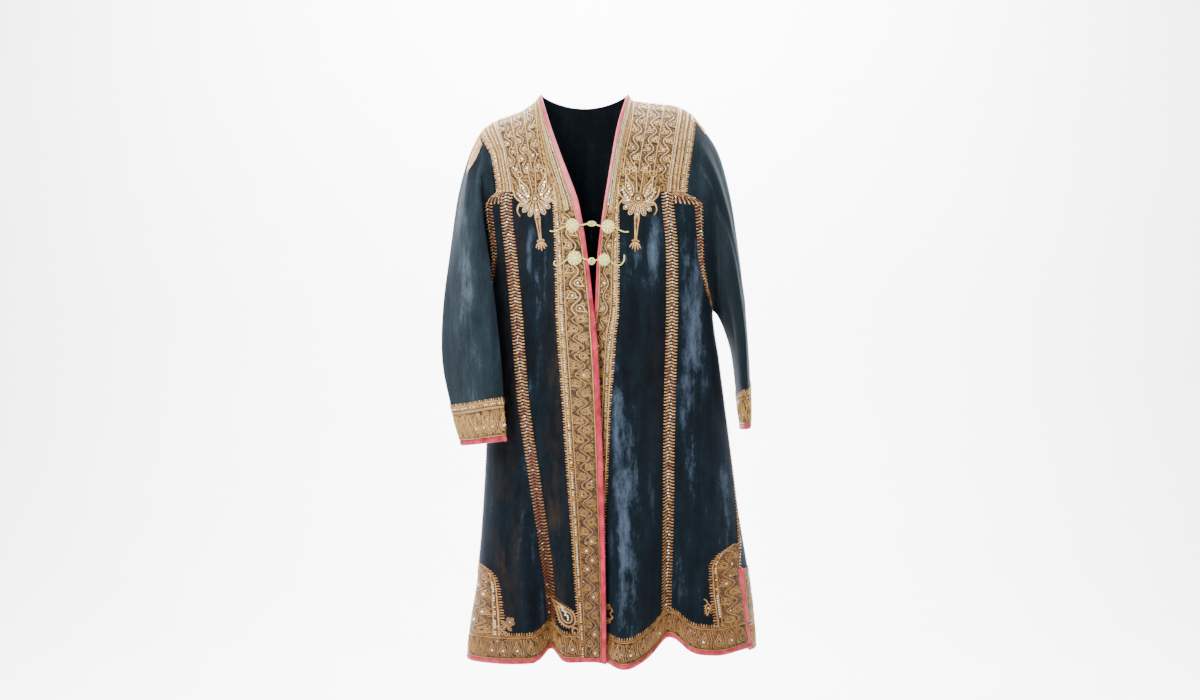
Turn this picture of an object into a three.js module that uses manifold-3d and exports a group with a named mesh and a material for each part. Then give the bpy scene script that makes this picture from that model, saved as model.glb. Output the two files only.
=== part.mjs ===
// A long open-fronted velvet caftan, worn shape, standing hollow.
// Millimetres, +Z up, the front faces -Y. "Right" and "left" are the wearer's own, so right is -X.
// The origin is the point that holds it: between the shoulders, inside the neck.
//
// Every panel is a wall over one patch of a grid. The grid's rows run up the body and its columns
// run from the front edge round to the side seam, so borders, braids and bindings are patches of the
// same grid, moved out.

import * as THREE from "three";
import { mergeVertices } from "three/addons/utils/BufferGeometryUtils.js";
import Module from "manifold-3d";

const wasm = await Module();
wasm.setup();

// ---- driving sizes ----

const CLOTH = 2; // thickness of the velvet wall
const GAP = 0.3; // between pieces that meet
const TRIM = 1.2; // thickness of couched borders and braids
const BINDING_PROUD = 1; // how far the satin binding stands out of the velvet
const BRAID_HALF = 8; // half width of the braid that covers a seam
const ROUNDNESS = 2.4; // power of the oval that the body's rings follow
const SHOULDER_ROUND = 150; // height over which the body rounds over to the shoulder line
const SHOULDER_POWER = 2.2;
const HEM = -1066; // the lowest of the front hem, before its folds
const HEM_SLOPE = 0.05; // the front hem rises to the left by this much of its run
const BACK_HEM = -1046;
const FOLD_GROWTH = 1.3; // power with which folds deepen towards the hem
const NECK_DROP = 20; // the back neck lies this far below the neck points
const TUCK = { depth: 17, run: 24, from: -330, full: -480 }; // the left front slips behind the right
const SLIT_TUCK = [13, 8]; // how far inside the fronts the back's outermost two columns lie at a slit
const SIDE_BRAID = { near: 3, far: 10 }; // the side braid's distances from the side seam

// ---- tables: each row is one height, each column a size at it ----

function columns(names, rows) {
  const keys = names.split(" ");
  return rows.map((row) => Object.fromEntries(keys.map((key, i) => [key, row[i]])));
}

// The body's rings: how far the silhouette reaches to each side, and the depth before and behind.
const SECTIONS = columns("z left right front back", [
  [40, -236, 246, 46, 62],
  [-60, -236, 246, 80, 84],
  [-130, -236, 246, 97, 98],
  [-200, -234, 244, 108, 104],
  [-300, -222, 237, 117, 104],
  [-397, -204, 229, 119, 98],
  [-500, -199, 242, 117, 94],
  [-650, -204, 261, 117, 94],
  [-800, -212, 281, 121, 100],
  [-920, -223, 300, 125, 106],
  [-1000, -236, 312, 128, 110],
  [-1070, -243, 318, 130, 113],
]);

// The right front: its edge, how wide the binding is, the border's outer line, the panel seam, the side.
const RIGHT_LINES = columns("z edge bind border seam side", [
  [20, -101, 6, -110, -178, -216],
  [-50, -80, 8, -104, -173, -215],
  [-110, -59, 9, -96, -166, -199],
  [-178, -33, 13, -76, -160, -188],
  [-196, -27, 12, -74, -163, -204],
  [-300, -9, 8, -68, -153, -191],
  [-397, 2, 8, -66, -144, -204],
  [-437, 7, 11, -64, -141],
  [-564, 14, 11, -55, -131],
  [-692, 19, 11, -47, -113],
  [-819, 22, 10, -38, -96],
  [-946, 24, 9, -30, -82],
  [-1070, 25, 9, -22, -76],
]);

const LEFT_LINES = columns("z edge bind border seam side", [
  [20, 66, 6, 79, 139, 200],
  [-50, 46, 7, 70, 139, 192],
  [-110, 35, 6, 58, 139, 184],
  [-178, 24, 6, 50, 139, 176],
  [-196, 21, 6, 48, 140, 206],
  [-300, 8, 5, 47, 148, 209],
  [-397, 3, 6, 46, 148, 229],
  [-450, -8, 8, 40, 147],
  [-564, -24, 9, 32, 144],
  [-692, -30, 9, 27, 142],
  [-819, -36, 9, 21, 141],
  [-1070, -40, 9, 17, 137],
]);

// How far round the body each side seam lies below the armpit, in degrees from the front.
const SIDE_TURN = columns("z right left", [
  [-397, 90, 90],
  [-560, 90, 89],
  [-720, 90, 84],
  [-845, 90, 75],
  [-905, 90, 67],
  [-980, 90, 66],
  [-1070, 90, 68],
]);

// The shoulder line and, between the neck points, the hump that the neck would fill.
const SHOULDER = columns("x z", [
  [-240, -90],
  [-216, -56],
  [-196, -38],
  [-169, -27],
  [-137, -15],
  [-112, 3],
  [-101, 16],
  [-70, 33],
  [-18, 42],
  [35, 33],
  [66, 18],
  [77, 5],
  [114, 0],
  [156, -5],
  [182, -16],
  [203, -36],
  [250, -95],
]);

const NECK = { right: -101, left: 66 }; // the two neck points
const BACK_LINES = columns("z right left", [
  [20, NECK.right, NECK.left],
  [-400, -92, 98],
  [-1070, -84, 128],
]);

// Large folds: where each lies at its head and at the hem, how wide, how far it comes out,
// the height at which it starts, and how far it lifts the hem.
const FRONT_FOLDS = columns("head hem wide out top lift", [
  [-140, -79, 17, -52, -560, 19],
  [-185, -165, 34, 8, -700, 0],
  [30, 60, 34, 26, -480, -13],
  [140, 145, 30, -50, -400, 30],
  [225, 240, 30, 8, -560, -4],
]);
const BACK_FOLDS = columns("head hem wide out top lift", [
  [-150, -165, 34, 16, -480, -4],
  [-70, -95, 30, -26, -380, 10],
  [-10, 0, 36, 18, -420, -4],
  [70, 95, 30, -28, -360, 12],
  [150, 190, 40, 18, -460, -4],
]);

// Rows of the grid: heights above the hem line, plain heights, and shares of the way to the shoulder.
const HEM_ROWS = [0, 9, 53];
const BODY_ROWS = [-905, -845, -770, -690, -610, -530, -465, -397, -340, -265, -196, -178];
const YOKE_ROWS = [0.35, 0.6, 0.78, 0.9, 0.955, 1];
const FADE_TOP = -600; // the hem's rise and fall dies out at this height

const ROWS = [
  ...HEM_ROWS.map((above) => ({ above, z: HEM + above })),
  ...BODY_ROWS.map((z) => ({ z })),
  ...YOKE_ROWS.map((share) => ({ share, z: -178 })),
];
const TOP = ROWS.length - 1;
const rowOf = (z) => HEM_ROWS.length + BODY_ROWS.indexOf(z);
const HEM_ROW = { binding: 1, border: 2 };
const ARMPIT = rowOf(-397);
const SLIT_TOP = rowOf(-905);
const CORNER_TOP = rowOf(-845);
const BAR = rowOf(-196);
const YOKE = rowOf(-178);
const SHOULDER_BAND = YOKE + 3;
const NECK_BAND = TOP - 1;

// Columns of a front, from its edge to the side seam, and of the back, from the left side to the right.
const FRONT = {
  edge: 0,
  bind: 1,
  border: 3,
  seamIn: 7,
  seam: 8,
  seamOut: 9,
  sideIn: 12,
  sideOut: 13,
  side: 14,
};
const BACK = {
  left: 0,
  leftIn: 1,
  leftBorder: 2,
  neckLeft: 4,
  neckRight: 8,
  rightBorder: 10,
  rightIn: 11,
  right: 12,
};

// Sleeves: the outer line, the front fold, the underarm and the back of each ring.
const RIGHT_SLEEVE = [
  { outer: [-239, 2, -98], front: [-211, -84, -150], under: [-212, -8, -408], back: [-214, 84, -200] },
  { outer: [-262, 4, -180], front: [-207, -104, -215], under: [-217, -22, -420], back: [-236, 82, -280] },
  { outer: [-277, 2, -290], front: [-193, -112, -305], under: [-222, -34, -442], back: [-254, 66, -365] },
  { outer: [-289, -4, -400], front: [-180, -114, -405], under: [-216, -46, -480], back: [-266, 44, -440] },
  { outer: [-288, -12, -495], front: [-171, -117, -492], under: [-207, -57, -525], back: [-268, 30, -515] },
  { outer: [-272, -20, -583], front: [-166, -121, -566], under: [-197, -67, -572], back: [-256, 14, -580] },
  { outer: [-254, -24, -648], front: [-162, -123, -634], under: [-188, -73, -634], back: [-242, 6, -642] },
  { outer: [-251, -25, -658], front: [-160, -123, -644], under: [-186, -74, -643], back: [-239, 5, -652] },
];
const LEFT_SLEEVE = [
  { outer: [238, 0, -86], front: [212, -80, -150], under: [236, 0, -404], back: [212, 80, -160] },
  { outer: [262, 0, -165], front: [238, -88, -220], under: [243, 0, -414], back: [236, 84, -240] },
  { outer: [276, 0, -250], front: [258, -90, -290], under: [251, 0, -432], back: [256, 84, -310] },
  { outer: [287, 0, -345], front: [272, -88, -365], under: [260, 0, -458], back: [270, 82, -380] },
  { outer: [296, 0, -440], front: [282, -83, -445], under: [269, 0, -498], back: [280, 77, -455] },
  { outer: [302, 0, -536], front: [289, -74, -552], under: [277, 0, -566], back: [288, 66, -548] },
  { outer: [303, -2, -606], front: [293, -64, -614], under: [284, -2, -618], back: [292, 56, -606] },
  { outer: [301, -2, -616], front: [292, -63, -625], under: [284, -2, -628], back: [291, 55, -615] },
];
const CUFF_ROW = 5; // the sleeve table's row where the cuff starts
const SLEEVE_STEPS = 2; // rings for each row of a sleeve table
const RING_SLOPE = 1.3; // power with which a ring's height runs from its underarm to its folds

const STRIP_RINGS = 1; // rings of a sleeve that the yoke's end lies over

// The corner panels' inner lines, up from the hem border: x and z.
const RIGHT_CORNER = [
  [-172, -1030],
  [-173, -988],
  [-177, -946],
  [-182, -912],
  [-196, -891],
  [-222, -880],
];
const LEFT_CORNER = [
  [234, -1030],
  [232, -988],
  [228, -960],
  [224, -925],
  [222, -882],
  [234, -861],
  [266, -842],
];

// Motifs about their axes: the share of the axis, and the half width to each side.
const PALMETTE = columns("share plus minus", [
  [0, 24, 24],
  [0.1, 28, 28],
  [0.24, 27, 27],
  [0.36, 22, 22],
  [0.45, 15, 15],
  [0.53, 6, 6],
  [0.6, 3.5, 3.5],
  [0.84, 2.5, 2.5],
  [0.9, 7, 7],
  [0.96, 6, 6],
  [1, 1.5, 1.5],
]);
const PAISLEY = columns("share plus minus", [
  [0, 0.5, 2],
  [0.12, 2, 7],
  [0.3, 8, 12],
  [0.5, 14, 15],
  [0.7, 17, 14],
  [0.85, 14, 11],
  [0.95, 8, 7],
  [1, 3, 3],
]);
const FLOWER = columns("share plus minus", [
  [0, 1.2, 1.2],
  [0.45, 1.2, 1.2],
  [0.5, 5, 5],
  [0.65, 8, 8],
  [0.85, 7.5, 7.5],
  [1, 3, 3],
]);
const BUD = columns("share plus minus", [
  [0, 1.2, 1.2],
  [0.25, 4.5, 4.5],
  [0.5, 5.5, 5.5],
  [0.75, 4.5, 4.5],
  [1, 1, 1],
]);

// Clasps: domed discs on the fronts, a knotted link over the opening, and a tail from each disc.
const DISC = {
  out: 1.9,
  profile: [[0, 0], [1, 0], [1, 1.1], [0.8, 2], [0.45, 2.8], [0, 3.2]],
};
const LINK = { out: 3.6, radius: 1.3, knotDepth: 4 };
const UPPER_CLASP = {
  right: { x: -38, z: -243, radius: 13 },
  left: { x: 28.5, z: -245, radius: 13 },
  knot: { x: -2, z: -240, halfWidth: 9.5, halfHeight: 5 },
  rightTail: [[-51.5, -245, 3.3], [-62, -250, 3.3], [-71, -254, 3.2], [-80, -253, 2]],
  leftTail: [[42, -247, 3.3], [50, -252, 3.3], [58, -255, 2.4], [66.5, -255, 2]],
};
const LOWER_CLASP = {
  right: { x: -34, z: -304, radius: 13.5 },
  left: { x: 21, z: -307, radius: 11.5 },
  knot: { x: -2, z: -310, halfWidth: 7.5, halfHeight: 7.5 },
  rightTail: [[-48, -306, 3.3], [-56, -313, 3.3], [-64, -318, 3.3], [-72, -316, 2.4], [-71, -309, 2.2]],
  leftTail: [[33, -310, 3.3], [42, -316, 3.3], [51, -317, 2.6], [58, -309, 2], [59, -298, 2]],
};

// ---- numbers ----

const clamp = (v) => Math.min(1, Math.max(0, v));
const smooth = (v) => clamp(v) ** 2 * (3 - 2 * clamp(v));
const lerp = (a, b, t) => a + (b - a) * t;
const power = (v, p) => Math.sign(v) * Math.abs(v) ** p;

// One column of a table at the place v, as a curve that never overshoots its rows.
function read(table, key, column, v) {
  const up = table[0][key] < table[1][key];
  const rows = up ? table : [...table].reverse();
  const xs = rows.map((row) => row[key]);
  const ys = rows.map((row) => row[column]);
  if (v <= xs[0]) return ys[0];
  if (v >= xs.at(-1)) return ys.at(-1);
  const i = xs.findIndex((x) => x > v) - 1;
  const slope = (k) => (ys[k + 1] - ys[k]) / (xs[k + 1] - xs[k]);
  const tangent = (k) => {
    if (k === 0 || k === xs.length - 1) return slope(Math.min(k, xs.length - 2));
    const [a, b] = [slope(k - 1), slope(k)];
    return a * b <= 0 ? 0 : (2 * a * b) / (a + b);
  };
  const run = xs[i + 1] - xs[i];
  const t = (v - xs[i]) / run;
  const [t2, t3] = [t * t, t * t * t];
  return (
    (2 * t3 - 3 * t2 + 1) * ys[i] +
    (t3 - 2 * t2 + t) * run * tangent(i) +
    (3 * t2 - 2 * t3) * ys[i + 1] +
    (t3 - t2) * run * tangent(i + 1)
  );
}

// ---- the body's surface ----

const shoulderZ = (x) => read(SHOULDER, "x", "z", x);

function ring(z) {
  const left = read(SECTIONS, "z", "left", z);
  const right = read(SECTIONS, "z", "right", z);
  return { centre: (left + right) / 2, half: (right - left) / 2 };
}

function angleOf(z, x) {
  const { centre, half } = ring(z);
  const u = Math.max(-1, Math.min(1, (x - centre) / half));
  return Math.asin(power(u, ROUNDNESS / 2));
}

function xOf(z, angle) {
  const { centre, half } = ring(z);
  return centre + half * power(Math.sin(angle), 2 / ROUNDNESS);
}

function bump(fold, x, z) {
  const grown = clamp((fold.top - z) / (fold.top - HEM));
  const at = lerp(fold.head, fold.hem, grown);
  return grown ** FOLD_GROWTH * Math.exp(-(((x - at) / fold.wide) ** 2));
}

// How far the body reaches from y = 0 at this x and z, folds included.
function reach(depth, folds, x, z) {
  const { centre, half } = ring(z);
  const side = (1 - Math.min(1, Math.abs((x - centre) / half)) ** ROUNDNESS) ** (1 / ROUNDNESS);
  const below = clamp((shoulderZ(x) - z) / SHOULDER_ROUND);
  const top = (1 - (1 - below) ** SHOULDER_POWER) ** (1 / SHOULDER_POWER);
  const out = folds.reduce((sum, fold) => sum + fold.out * bump(fold, x, z), 0);
  return (read(SECTIONS, "z", depth, z) * top + out) * side;
}

function rightY(x, z) {
  return -reach("front", FRONT_FOLDS, x, z);
}

function leftY(x, z) {
  const overlap = smooth((TUCK.from - z) / (TUCK.from - TUCK.full));
  const edge = read(RIGHT_LINES, "z", "edge", z);
  return rightY(x, z) + TUCK.depth * overlap * smooth((edge + TUCK.run - x) / TUCK.run);
}

function backY(x, z) {
  return reach("back", BACK_FOLDS, x, z);
}

// A point of a surface y = f(x, level) and the way that it faces. Near the hem the rows rise and
// fall, so the point's own height z differs from the level at which the body is measured.
function vertex(f, facing, x, level, z) {
  const step = 0.01;
  const inX = Math.sign(x - ring(level).centre) * step;
  const y = f(x, level);
  const slopeX = (y - f(x - inX, level)) / inX;
  const slopeZ = (y - f(x, level - step)) / step;
  const n = new THREE.Vector3(-slopeX, 1, -slopeZ).multiplyScalar(facing).normalize();
  return { p: new THREE.Vector3(x, y, z), n };
}

function hemZ(folds, x) {
  const line = folds === FRONT_FOLDS ? HEM + HEM_SLOPE * (x + 240) : BACK_HEM;
  return line + folds.reduce((sum, fold) => sum + fold.lift * bump(fold, x, HEM), 0);
}

function rowZ(row, folds, x, topZ) {
  if (row.share !== undefined) return lerp(row.z, topZ(x), row.share);
  const hem = hemZ(folds, x);
  if (row.above !== undefined) return hem + row.above;
  return row.z + (hem - HEM) * clamp((FADE_TOP - row.z) / (FADE_TOP - HEM - HEM_ROWS.at(-1)));
}

// The angle that runs a given length further round the ring, from the front (0) to the back (pi).
function further(z, turn, length) {
  const depth = read(SECTIONS, "z", turn > Math.PI / 2 ? "back" : "front", z);
  return turn + length / Math.hypot(ring(z).half * Math.cos(turn), depth * Math.sin(turn));
}

// How far round the ring the side seam lies at one height.
function sideTurn(lines, sign, z) {
  const own = sign > 0 ? "left" : "right";
  if (z < SIDE_TURN[0].z) return THREE.MathUtils.degToRad(read(SIDE_TURN, "z", own, z));
  const above = lines.filter((row) => row.side !== undefined);
  return sign * angleOf(z, read(above, "z", "side", z));
}

// The x of each column of a front, at one height.
function frontColumns(lines, sign, z) {
  const at = (column) => read(lines, "z", column, z);
  const turned = (turn) => xOf(z, sign * turn);
  const spread = (from, to, count) =>
    Array.from({ length: count }, (_, i) => turned(lerp(from, to, (i + 1) / (count + 1))));
  const [edge, border, seam] = [at("edge"), at("border"), at("seam")];
  const out = edge + sign * at("bind");
  const [seamIn, seamOut] = [seam - sign * BRAID_HALF, seam + sign * BRAID_HALF];
  const side = sideTurn(lines, sign, z);
  const [far, near] = [further(z, side, -SIDE_BRAID.far), further(z, side, -SIDE_BRAID.near)];
  return [
    edge,
    out,
    (out + border) / 2,
    border,
    ...spread(sign * angleOf(z, border), sign * angleOf(z, seamIn), 3),
    seamIn,
    seam,
    seamOut,
    ...spread(sign * angleOf(z, seamOut), far, 2),
    turned(far),
    turned(near),
    turned(side),
  ];
}

// Settles a column's x, level and height, each of which depends on the others.
function settle(row, folds, topZ, xAt) {
  let level = row.z;
  let x = xAt(level);
  let z = rowZ(row, folds, x, topZ);
  for (let i = 0; i < 8 && row.share !== undefined; i++) {
    level = z;
    x = xAt(level);
    z = rowZ(row, folds, x, topZ);
  }
  return { x, level, z };
}

function frontGrid(lines, sign, f) {
  return ROWS.map((row) =>
    Array.from({ length: FRONT.side + 1 }, (_, c) => {
      const xAt = (z) => frontColumns(lines, sign, z)[c];
      const { x, level, z } = settle(row, FRONT_FOLDS, shoulderZ, xAt);
      return vertex(f, -1, x, level, z);
    }),
  ).map(levelTop);
}

// On the shoulder line front and back meet, facing straight up. Between the neck points the back stands.
function levelTop(row, r) {
  const onShoulder = ({ p }) => p.x < NECK.right + 1 || p.x > NECK.left - 1;
  if (r === TOP) row.filter(onShoulder).forEach(({ n }) => n.setY(0).normalize());
  return row;
}

const neckZ = (x) => {
  const u = (2 * (x - NECK.right)) / (NECK.left - NECK.right) - 1;
  return Math.abs(u) >= 1 ? shoulderZ(x) : shoulderZ(NECK.left) - NECK_DROP * (1 - u * u);
};

// The turns of the back's columns at one height, positive on the left, pi at the centre back.
function backTurns(left, right, z) {
  const neck = (side) => Math.PI - Math.abs(angleOf(z, read(BACK_LINES, "z", side, z)));
  const half = (side, seam) => {
    const second = further(z, seam, SIDE_BRAID.far);
    const third = Math.max(Math.PI / 2, lerp(second, neck(side), 1 / 3));
    return [seam, second, third, lerp(third, neck(side), 1 / 2), neck(side)];
  };
  const leftHalf = half("left", left);
  const rightHalf = half("right", right).map((turn) => 2 * Math.PI - turn);
  const [from, to] = [leftHalf.at(-1), rightHalf.at(-1)];
  const middle = [1 / 4, 1 / 2, 3 / 4].map((t) => lerp(from, to, t));
  return [...leftHalf, ...middle, ...rightHalf.reverse()];
}

// The back starts at the fronts' side seams. Where a seam lies before the silhouette, the back
// wraps round the side to reach it, and below the slit's top it passes inside the front's edge.
function backGrid(rightGrid, leftGrid) {
  return ROWS.map((row, r) =>
    Array.from({ length: BACK.right + 1 }, (_, c) => {
      const onLeft = c < BACK.right / 2;
      const fromSeam = onLeft ? c : BACK.right - c;
      const seam = (onLeft ? leftGrid : rightGrid)[r][FRONT.side];
      const inwards = (r < SLIT_TOP && SLIT_TUCK[fromSeam]) || 0;
      const made = fromSeam === 0 ? backEdge(seam, r) : backVertex(row, c);
      return { p: made.p.clone().addScaledVector(made.n, -inwards), n: made.n.clone() };
    }),
  ).map(levelTop);
}

function backEdge(seam, r) {
  const shared = r <= ARMPIT || r === TOP;
  return shared ? seam : vertex(backY, 1, seam.p.x, seam.p.z, seam.p.z);
}

function backVertex(row, c) {
  const turnAt = (z) => {
    const [left, right] = [sideTurn(LEFT_LINES, 1, z), sideTurn(RIGHT_LINES, -1, z)];
    const above = z > SIDE_TURN[0].z;
    return backTurns(above ? Math.PI - left : left, above ? Math.PI - right : right, z)[c];
  };
  const { x, level, z } = settle(row, BACK_FOLDS, neckZ, (height) => xOf(height, turnAt(height)));
  const turn = turnAt(level);
  const inFront = Math.cos(turn) > 1e-6;
  return inFront ? vertex(leftY, -1, x, level, z) : vertex(backY, 1, x, level, z);
}

// ---- sleeves ----

// A closed oval through the four named points, sampled QUARTER times from one to the next. Its
// height changes least at the front and back folds, so that it turns nearly square to them.
const QUARTER = (TOP - ARMPIT) / 2;

function sleeveRing(row) {
  const [under, front, outer, behind] = [row.under, row.front, row.outer, row.back].map(
    (p) => new THREE.Vector3(...p),
  );
  const forwards = front.clone().sub(behind).setZ(0).normalize();
  return Array.from({ length: 4 * QUARTER }, (_, j) => {
    const turn = (j * Math.PI) / (2 * QUARTER);
    const [run, rest] = [Math.abs(Math.sin(turn)), 1 - Math.abs(Math.cos(turn))];
    const side = Math.cos(turn) > 0 ? under : outer;
    const across = (Math.sin(turn) > 0 ? front : behind).clone().sub(side);
    const along = across.dot(forwards);
    const square = across.clone().addScaledVector(forwards, -along);
    square.multiply(new THREE.Vector3(rest, rest, run ** RING_SLOPE));
    return side.clone().addScaledVector(forwards, along * run).add(square);
  });
}

// The armhole's own points, up the front from the armpit and down the back, open the sleeve.
function armhole(front, back, backSide) {
  const up = front.slice(ARMPIT, TOP + 1).map((row) => row[FRONT.side]);
  const down = back.slice(ARMPIT + 1, TOP).map((row) => row[backSide]);
  return [...up, ...down.reverse()];
}

function sleeveGrid(front, back, backSide, table) {
  const hole = armhole(front, back, backSide);
  const main = [hole.map((v) => v.p), ...table.map(sleeveRing)];
  const rings = [];
  main.forEach((points, i) => {
    rings.push(points);
    if (i >= main.length - 2) return;
    const next = main[i + 1];
    const before = main[Math.max(0, i - 1)];
    const after = main[Math.min(main.length - 1, i + 2)];
    rings.push(points.map((p, j) => middle(before[j], p, next[j], after[j])));
  });
  return rings.map((points, i) => {
    const normals = ringNormals(rings, i);
    const own = (j) => i > 0 || Math.min(j, points.length - j) <= 1;
    return points.map((p, j) => ({ p: p.clone(), n: own(j) ? normals[j] : hole[j].n.clone() }));
  });
}

// The point halfway from b to c on a smooth curve through a, b, c and d.
function middle(a, b, c, d) {
  const sides = new THREE.Vector3().addVectors(a, d).multiplyScalar(-1 / 16);
  return sides.addScaledVector(b, 9 / 16).addScaledVector(c, 9 / 16);
}

// The ways that a ring's points face, all of them outwards or all of them turned.
function ringNormals(rings, i) {
  const ring = rings[i];
  const [before, after] = [rings[Math.max(0, i - 1)], rings[Math.min(rings.length - 1, i + 1)]];
  const centre = ring.reduce((sum, p) => sum.add(p), new THREE.Vector3()).divideScalar(ring.length);
  const step = (from, to) => to.clone().sub(from).normalize();
  const normals = ring.map((p, j) => {
    const around = step(ring.at(j - 1), p).add(step(p, ring[(j + 1) % ring.length]));
    return around.cross(step(before[j], after[j])).normalize();
  });
  const outwards = normals.reduce((sum, n, j) => sum + n.dot(ring[j].clone().sub(centre)), 0);
  return outwards < 0 ? normals.map((n) => n.negate()) : normals;
}

// ---- solids ----

// A closed mesh from points and triangles, with its faces turned outwards.
function closed(points, triangles) {
  let volume = 0;
  for (const [a, b, c] of triangles) {
    volume += points[a].dot(new THREE.Vector3().crossVectors(points[b], points[c]));
  }
  const index = volume < 0 ? triangles.map(([a, b, c]) => [a, c, b]) : triangles;
  const geometry = new THREE.BufferGeometry();
  geometry.setAttribute("position", new THREE.Float32BufferAttribute(points.flatMap((p) => [...p]), 3));
  geometry.setIndex(index.flat());
  return geometry;
}

const transpose = (lists) => lists[0].map((_, i) => lists.map((list) => list[i]));

// A patch whose first and last lists stand back from its rim by half a gap, square to the rim.
function setBack(lists) {
  const moved = (rim, inside) =>
    rim.map(({ p, n }, i) => {
      const along = rim[Math.min(rim.length - 1, i + 1)].p.clone().sub(rim[Math.max(0, i - 1)].p);
      const inwards = inside[i].p.clone().sub(p);
      const square = inwards.clone().cross(along).length() / along.length();
      const t = Math.min(GAP / 2 / square, 1 / 3);
      return { p: p.clone().addScaledVector(inwards, t), n };
    });
  return [moved(lists[0], lists[1]), ...lists.slice(1, -1), moved(lists.at(-1), lists.at(-2))];
}

// A wall over the grid's rows r0 to r1 and columns c0 to c1, from the offset inner to the offset
// outer along the way that the surface faces. Its rim stands back by half a gap.
function plate(grid, [r0, r1], [c0, c1], inner, outer) {
  const around = grid[r0].length;
  const round = c1 - c0 === around;
  const [height, width] = [r1 - r0 + 1, round ? around : c1 - c0 + 1];
  const patch = Array.from({ length: height }, (_, r) =>
    Array.from({ length: width }, (_, c) => grid[r0 + r][(c0 + c) % around]),
  );
  const wide = round ? patch : transpose(setBack(transpose(patch)));
  const rows = transpose(setBack(wide));
  const points = [outer, inner].flatMap((offset) =>
    rows.flatMap((column) => column.map(({ p, n }) => p.clone().addScaledVector(n, offset))),
  );
  const at = (r, c, layer) => layer * height * width + (c % width) * height + r;
  const triangles = [];
  const quad = (a, b, c, d) => triangles.push([a, b, c], [a, c, d]);
  const last = round ? width : width - 1;
  for (let c = 0; c < last; c++) {
    for (let r = 0; r < height - 1; r++) {
      quad(at(r, c, 0), at(r, c + 1, 0), at(r + 1, c + 1, 0), at(r + 1, c, 0));
      triangles.push([at(r, c, 1), at(r + 1, c + 1, 1), at(r, c + 1, 1)]);
      triangles.push([at(r, c, 1), at(r + 1, c, 1), at(r + 1, c + 1, 1)]);
    }
    quad(at(0, c, 0), at(0, c, 1), at(0, c + 1, 1), at(0, c + 1, 0));
    quad(at(height - 1, c, 0), at(height - 1, c + 1, 0), at(height - 1, c + 1, 1), at(height - 1, c, 1));
  }
  for (let r = 0; r < height - 1 && !round; r++) {
    quad(at(r, 0, 0), at(r + 1, 0, 0), at(r + 1, 0, 1), at(r, 0, 1));
    quad(at(r, last, 0), at(r, last, 1), at(r + 1, last, 1), at(r + 1, last, 0));
  }
  return closed(points, triangles);
}

function solid(geometry) {
  const bare = geometry.clone();
  Object.keys(bare.attributes).forEach((key) => key !== "position" && bare.deleteAttribute(key));
  const merged = mergeVertices(bare, 1e-4);
  return new wasm.Manifold(
    new wasm.Mesh({
      numProp: 3,
      vertProperties: merged.attributes.position.array,
      triVerts: new Uint32Array(merged.index.array),
    }),
  );
}

function geometryOf(manifold) {
  const mesh = manifold.getMesh();
  const geometry = new THREE.BufferGeometry();
  geometry.setAttribute("position", new THREE.BufferAttribute(mesh.vertProperties, 3));
  geometry.setIndex(new THREE.BufferAttribute(mesh.triVerts, 1));
  return geometry;
}

// The part of a thin wall that lies inside an outline in x and z, before y = 0.
function cutTo(geometry, shape) {
  const prism = new THREE.ExtrudeGeometry(shape, { depth: 300, bevelEnabled: false });
  prism.rotateX(Math.PI / 2);
  return geometryOf(solid(geometry).intersect(solid(prism)));
}

const WALL = [-CLOTH, 0];
const LAID = [GAP, GAP + TRIM];
const EDGE = [-CLOTH, BINDING_PROUD];

// ---- colours ----

const COLOURS = {
  velvet: { color: 0x1d2b3d, roughness: 0.85, metalness: 0 },
  embroidery: { color: 0xb08a52, roughness: 0.5, metalness: 0.4 },
  braid: { color: 0x9a6a4a, roughness: 0.5, metalness: 0.4 },
  satin: { color: 0xd45a72, roughness: 0.4, metalness: 0 },
  brass: { color: 0xd9c27c, roughness: 0.35, metalness: 0.8 },
};

const group = new THREE.Group();

function add(name, geometry, finish) {
  const mesh = new THREE.Mesh(geometry, new THREE.MeshStandardMaterial(COLOURS[finish]));
  mesh.name = name;
  group.add(mesh);
}

// ---- the pieces ----

const HEM_BAND = [HEM_ROW.binding, HEM_ROW.border];
const SLIT = [HEM_ROW.binding, SLIT_TOP];
const SLIT_BAND = [HEM_ROW.border, SLIT_TOP];

function addFront(name, grid) {
  const wall = (rows, cols) => plate(grid, rows, cols, ...WALL);
  const laid = (rows, cols) => plate(grid, rows, cols, ...LAID);
  const edge = (rows, cols) => plate(grid, rows, cols, ...EDGE);
  add(`front_${name}`, wall([HEM_ROW.binding, TOP], [FRONT.bind, FRONT.seam]), "velvet");
  add(`side_front_${name}`, wall([HEM_ROW.binding, YOKE], [FRONT.seam, FRONT.side]), "velvet");
  add(`shoulder_front_${name}`, wall([YOKE, TOP], [FRONT.seam, FRONT.side]), "velvet");
  add(`edge_binding_${name}`, edge([0, TOP], [FRONT.edge, FRONT.bind]), "satin");
  add(`hem_binding_front_${name}`, edge([0, HEM_ROW.binding], [FRONT.bind, FRONT.side]), "satin");
  add(`front_border_${name}`, laid([HEM_ROW.binding, TOP], [FRONT.bind, FRONT.border]), "embroidery");
  add(`hem_border_front_${name}`, laid(HEM_BAND, [FRONT.border, FRONT.sideIn]), "embroidery");
  add(`slit_binding_front_${name}`, laid(SLIT, [FRONT.sideIn, FRONT.side]), "satin");
  add(`yoke_front_${name}`, laid([YOKE, TOP], [FRONT.border, FRONT.side]), "embroidery");
  add(`braid_bar_${name}`, laid([BAR, YOKE], [FRONT.seamOut, FRONT.side]), "braid");
  add(`front_braid_${name}`, laid([HEM_ROW.border, YOKE], [FRONT.seamIn, FRONT.seamOut]), "braid");
  add(`side_braid_${name}`, laid([SLIT_TOP, BAR], [FRONT.sideIn, FRONT.sideOut]), "braid");
}

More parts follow.
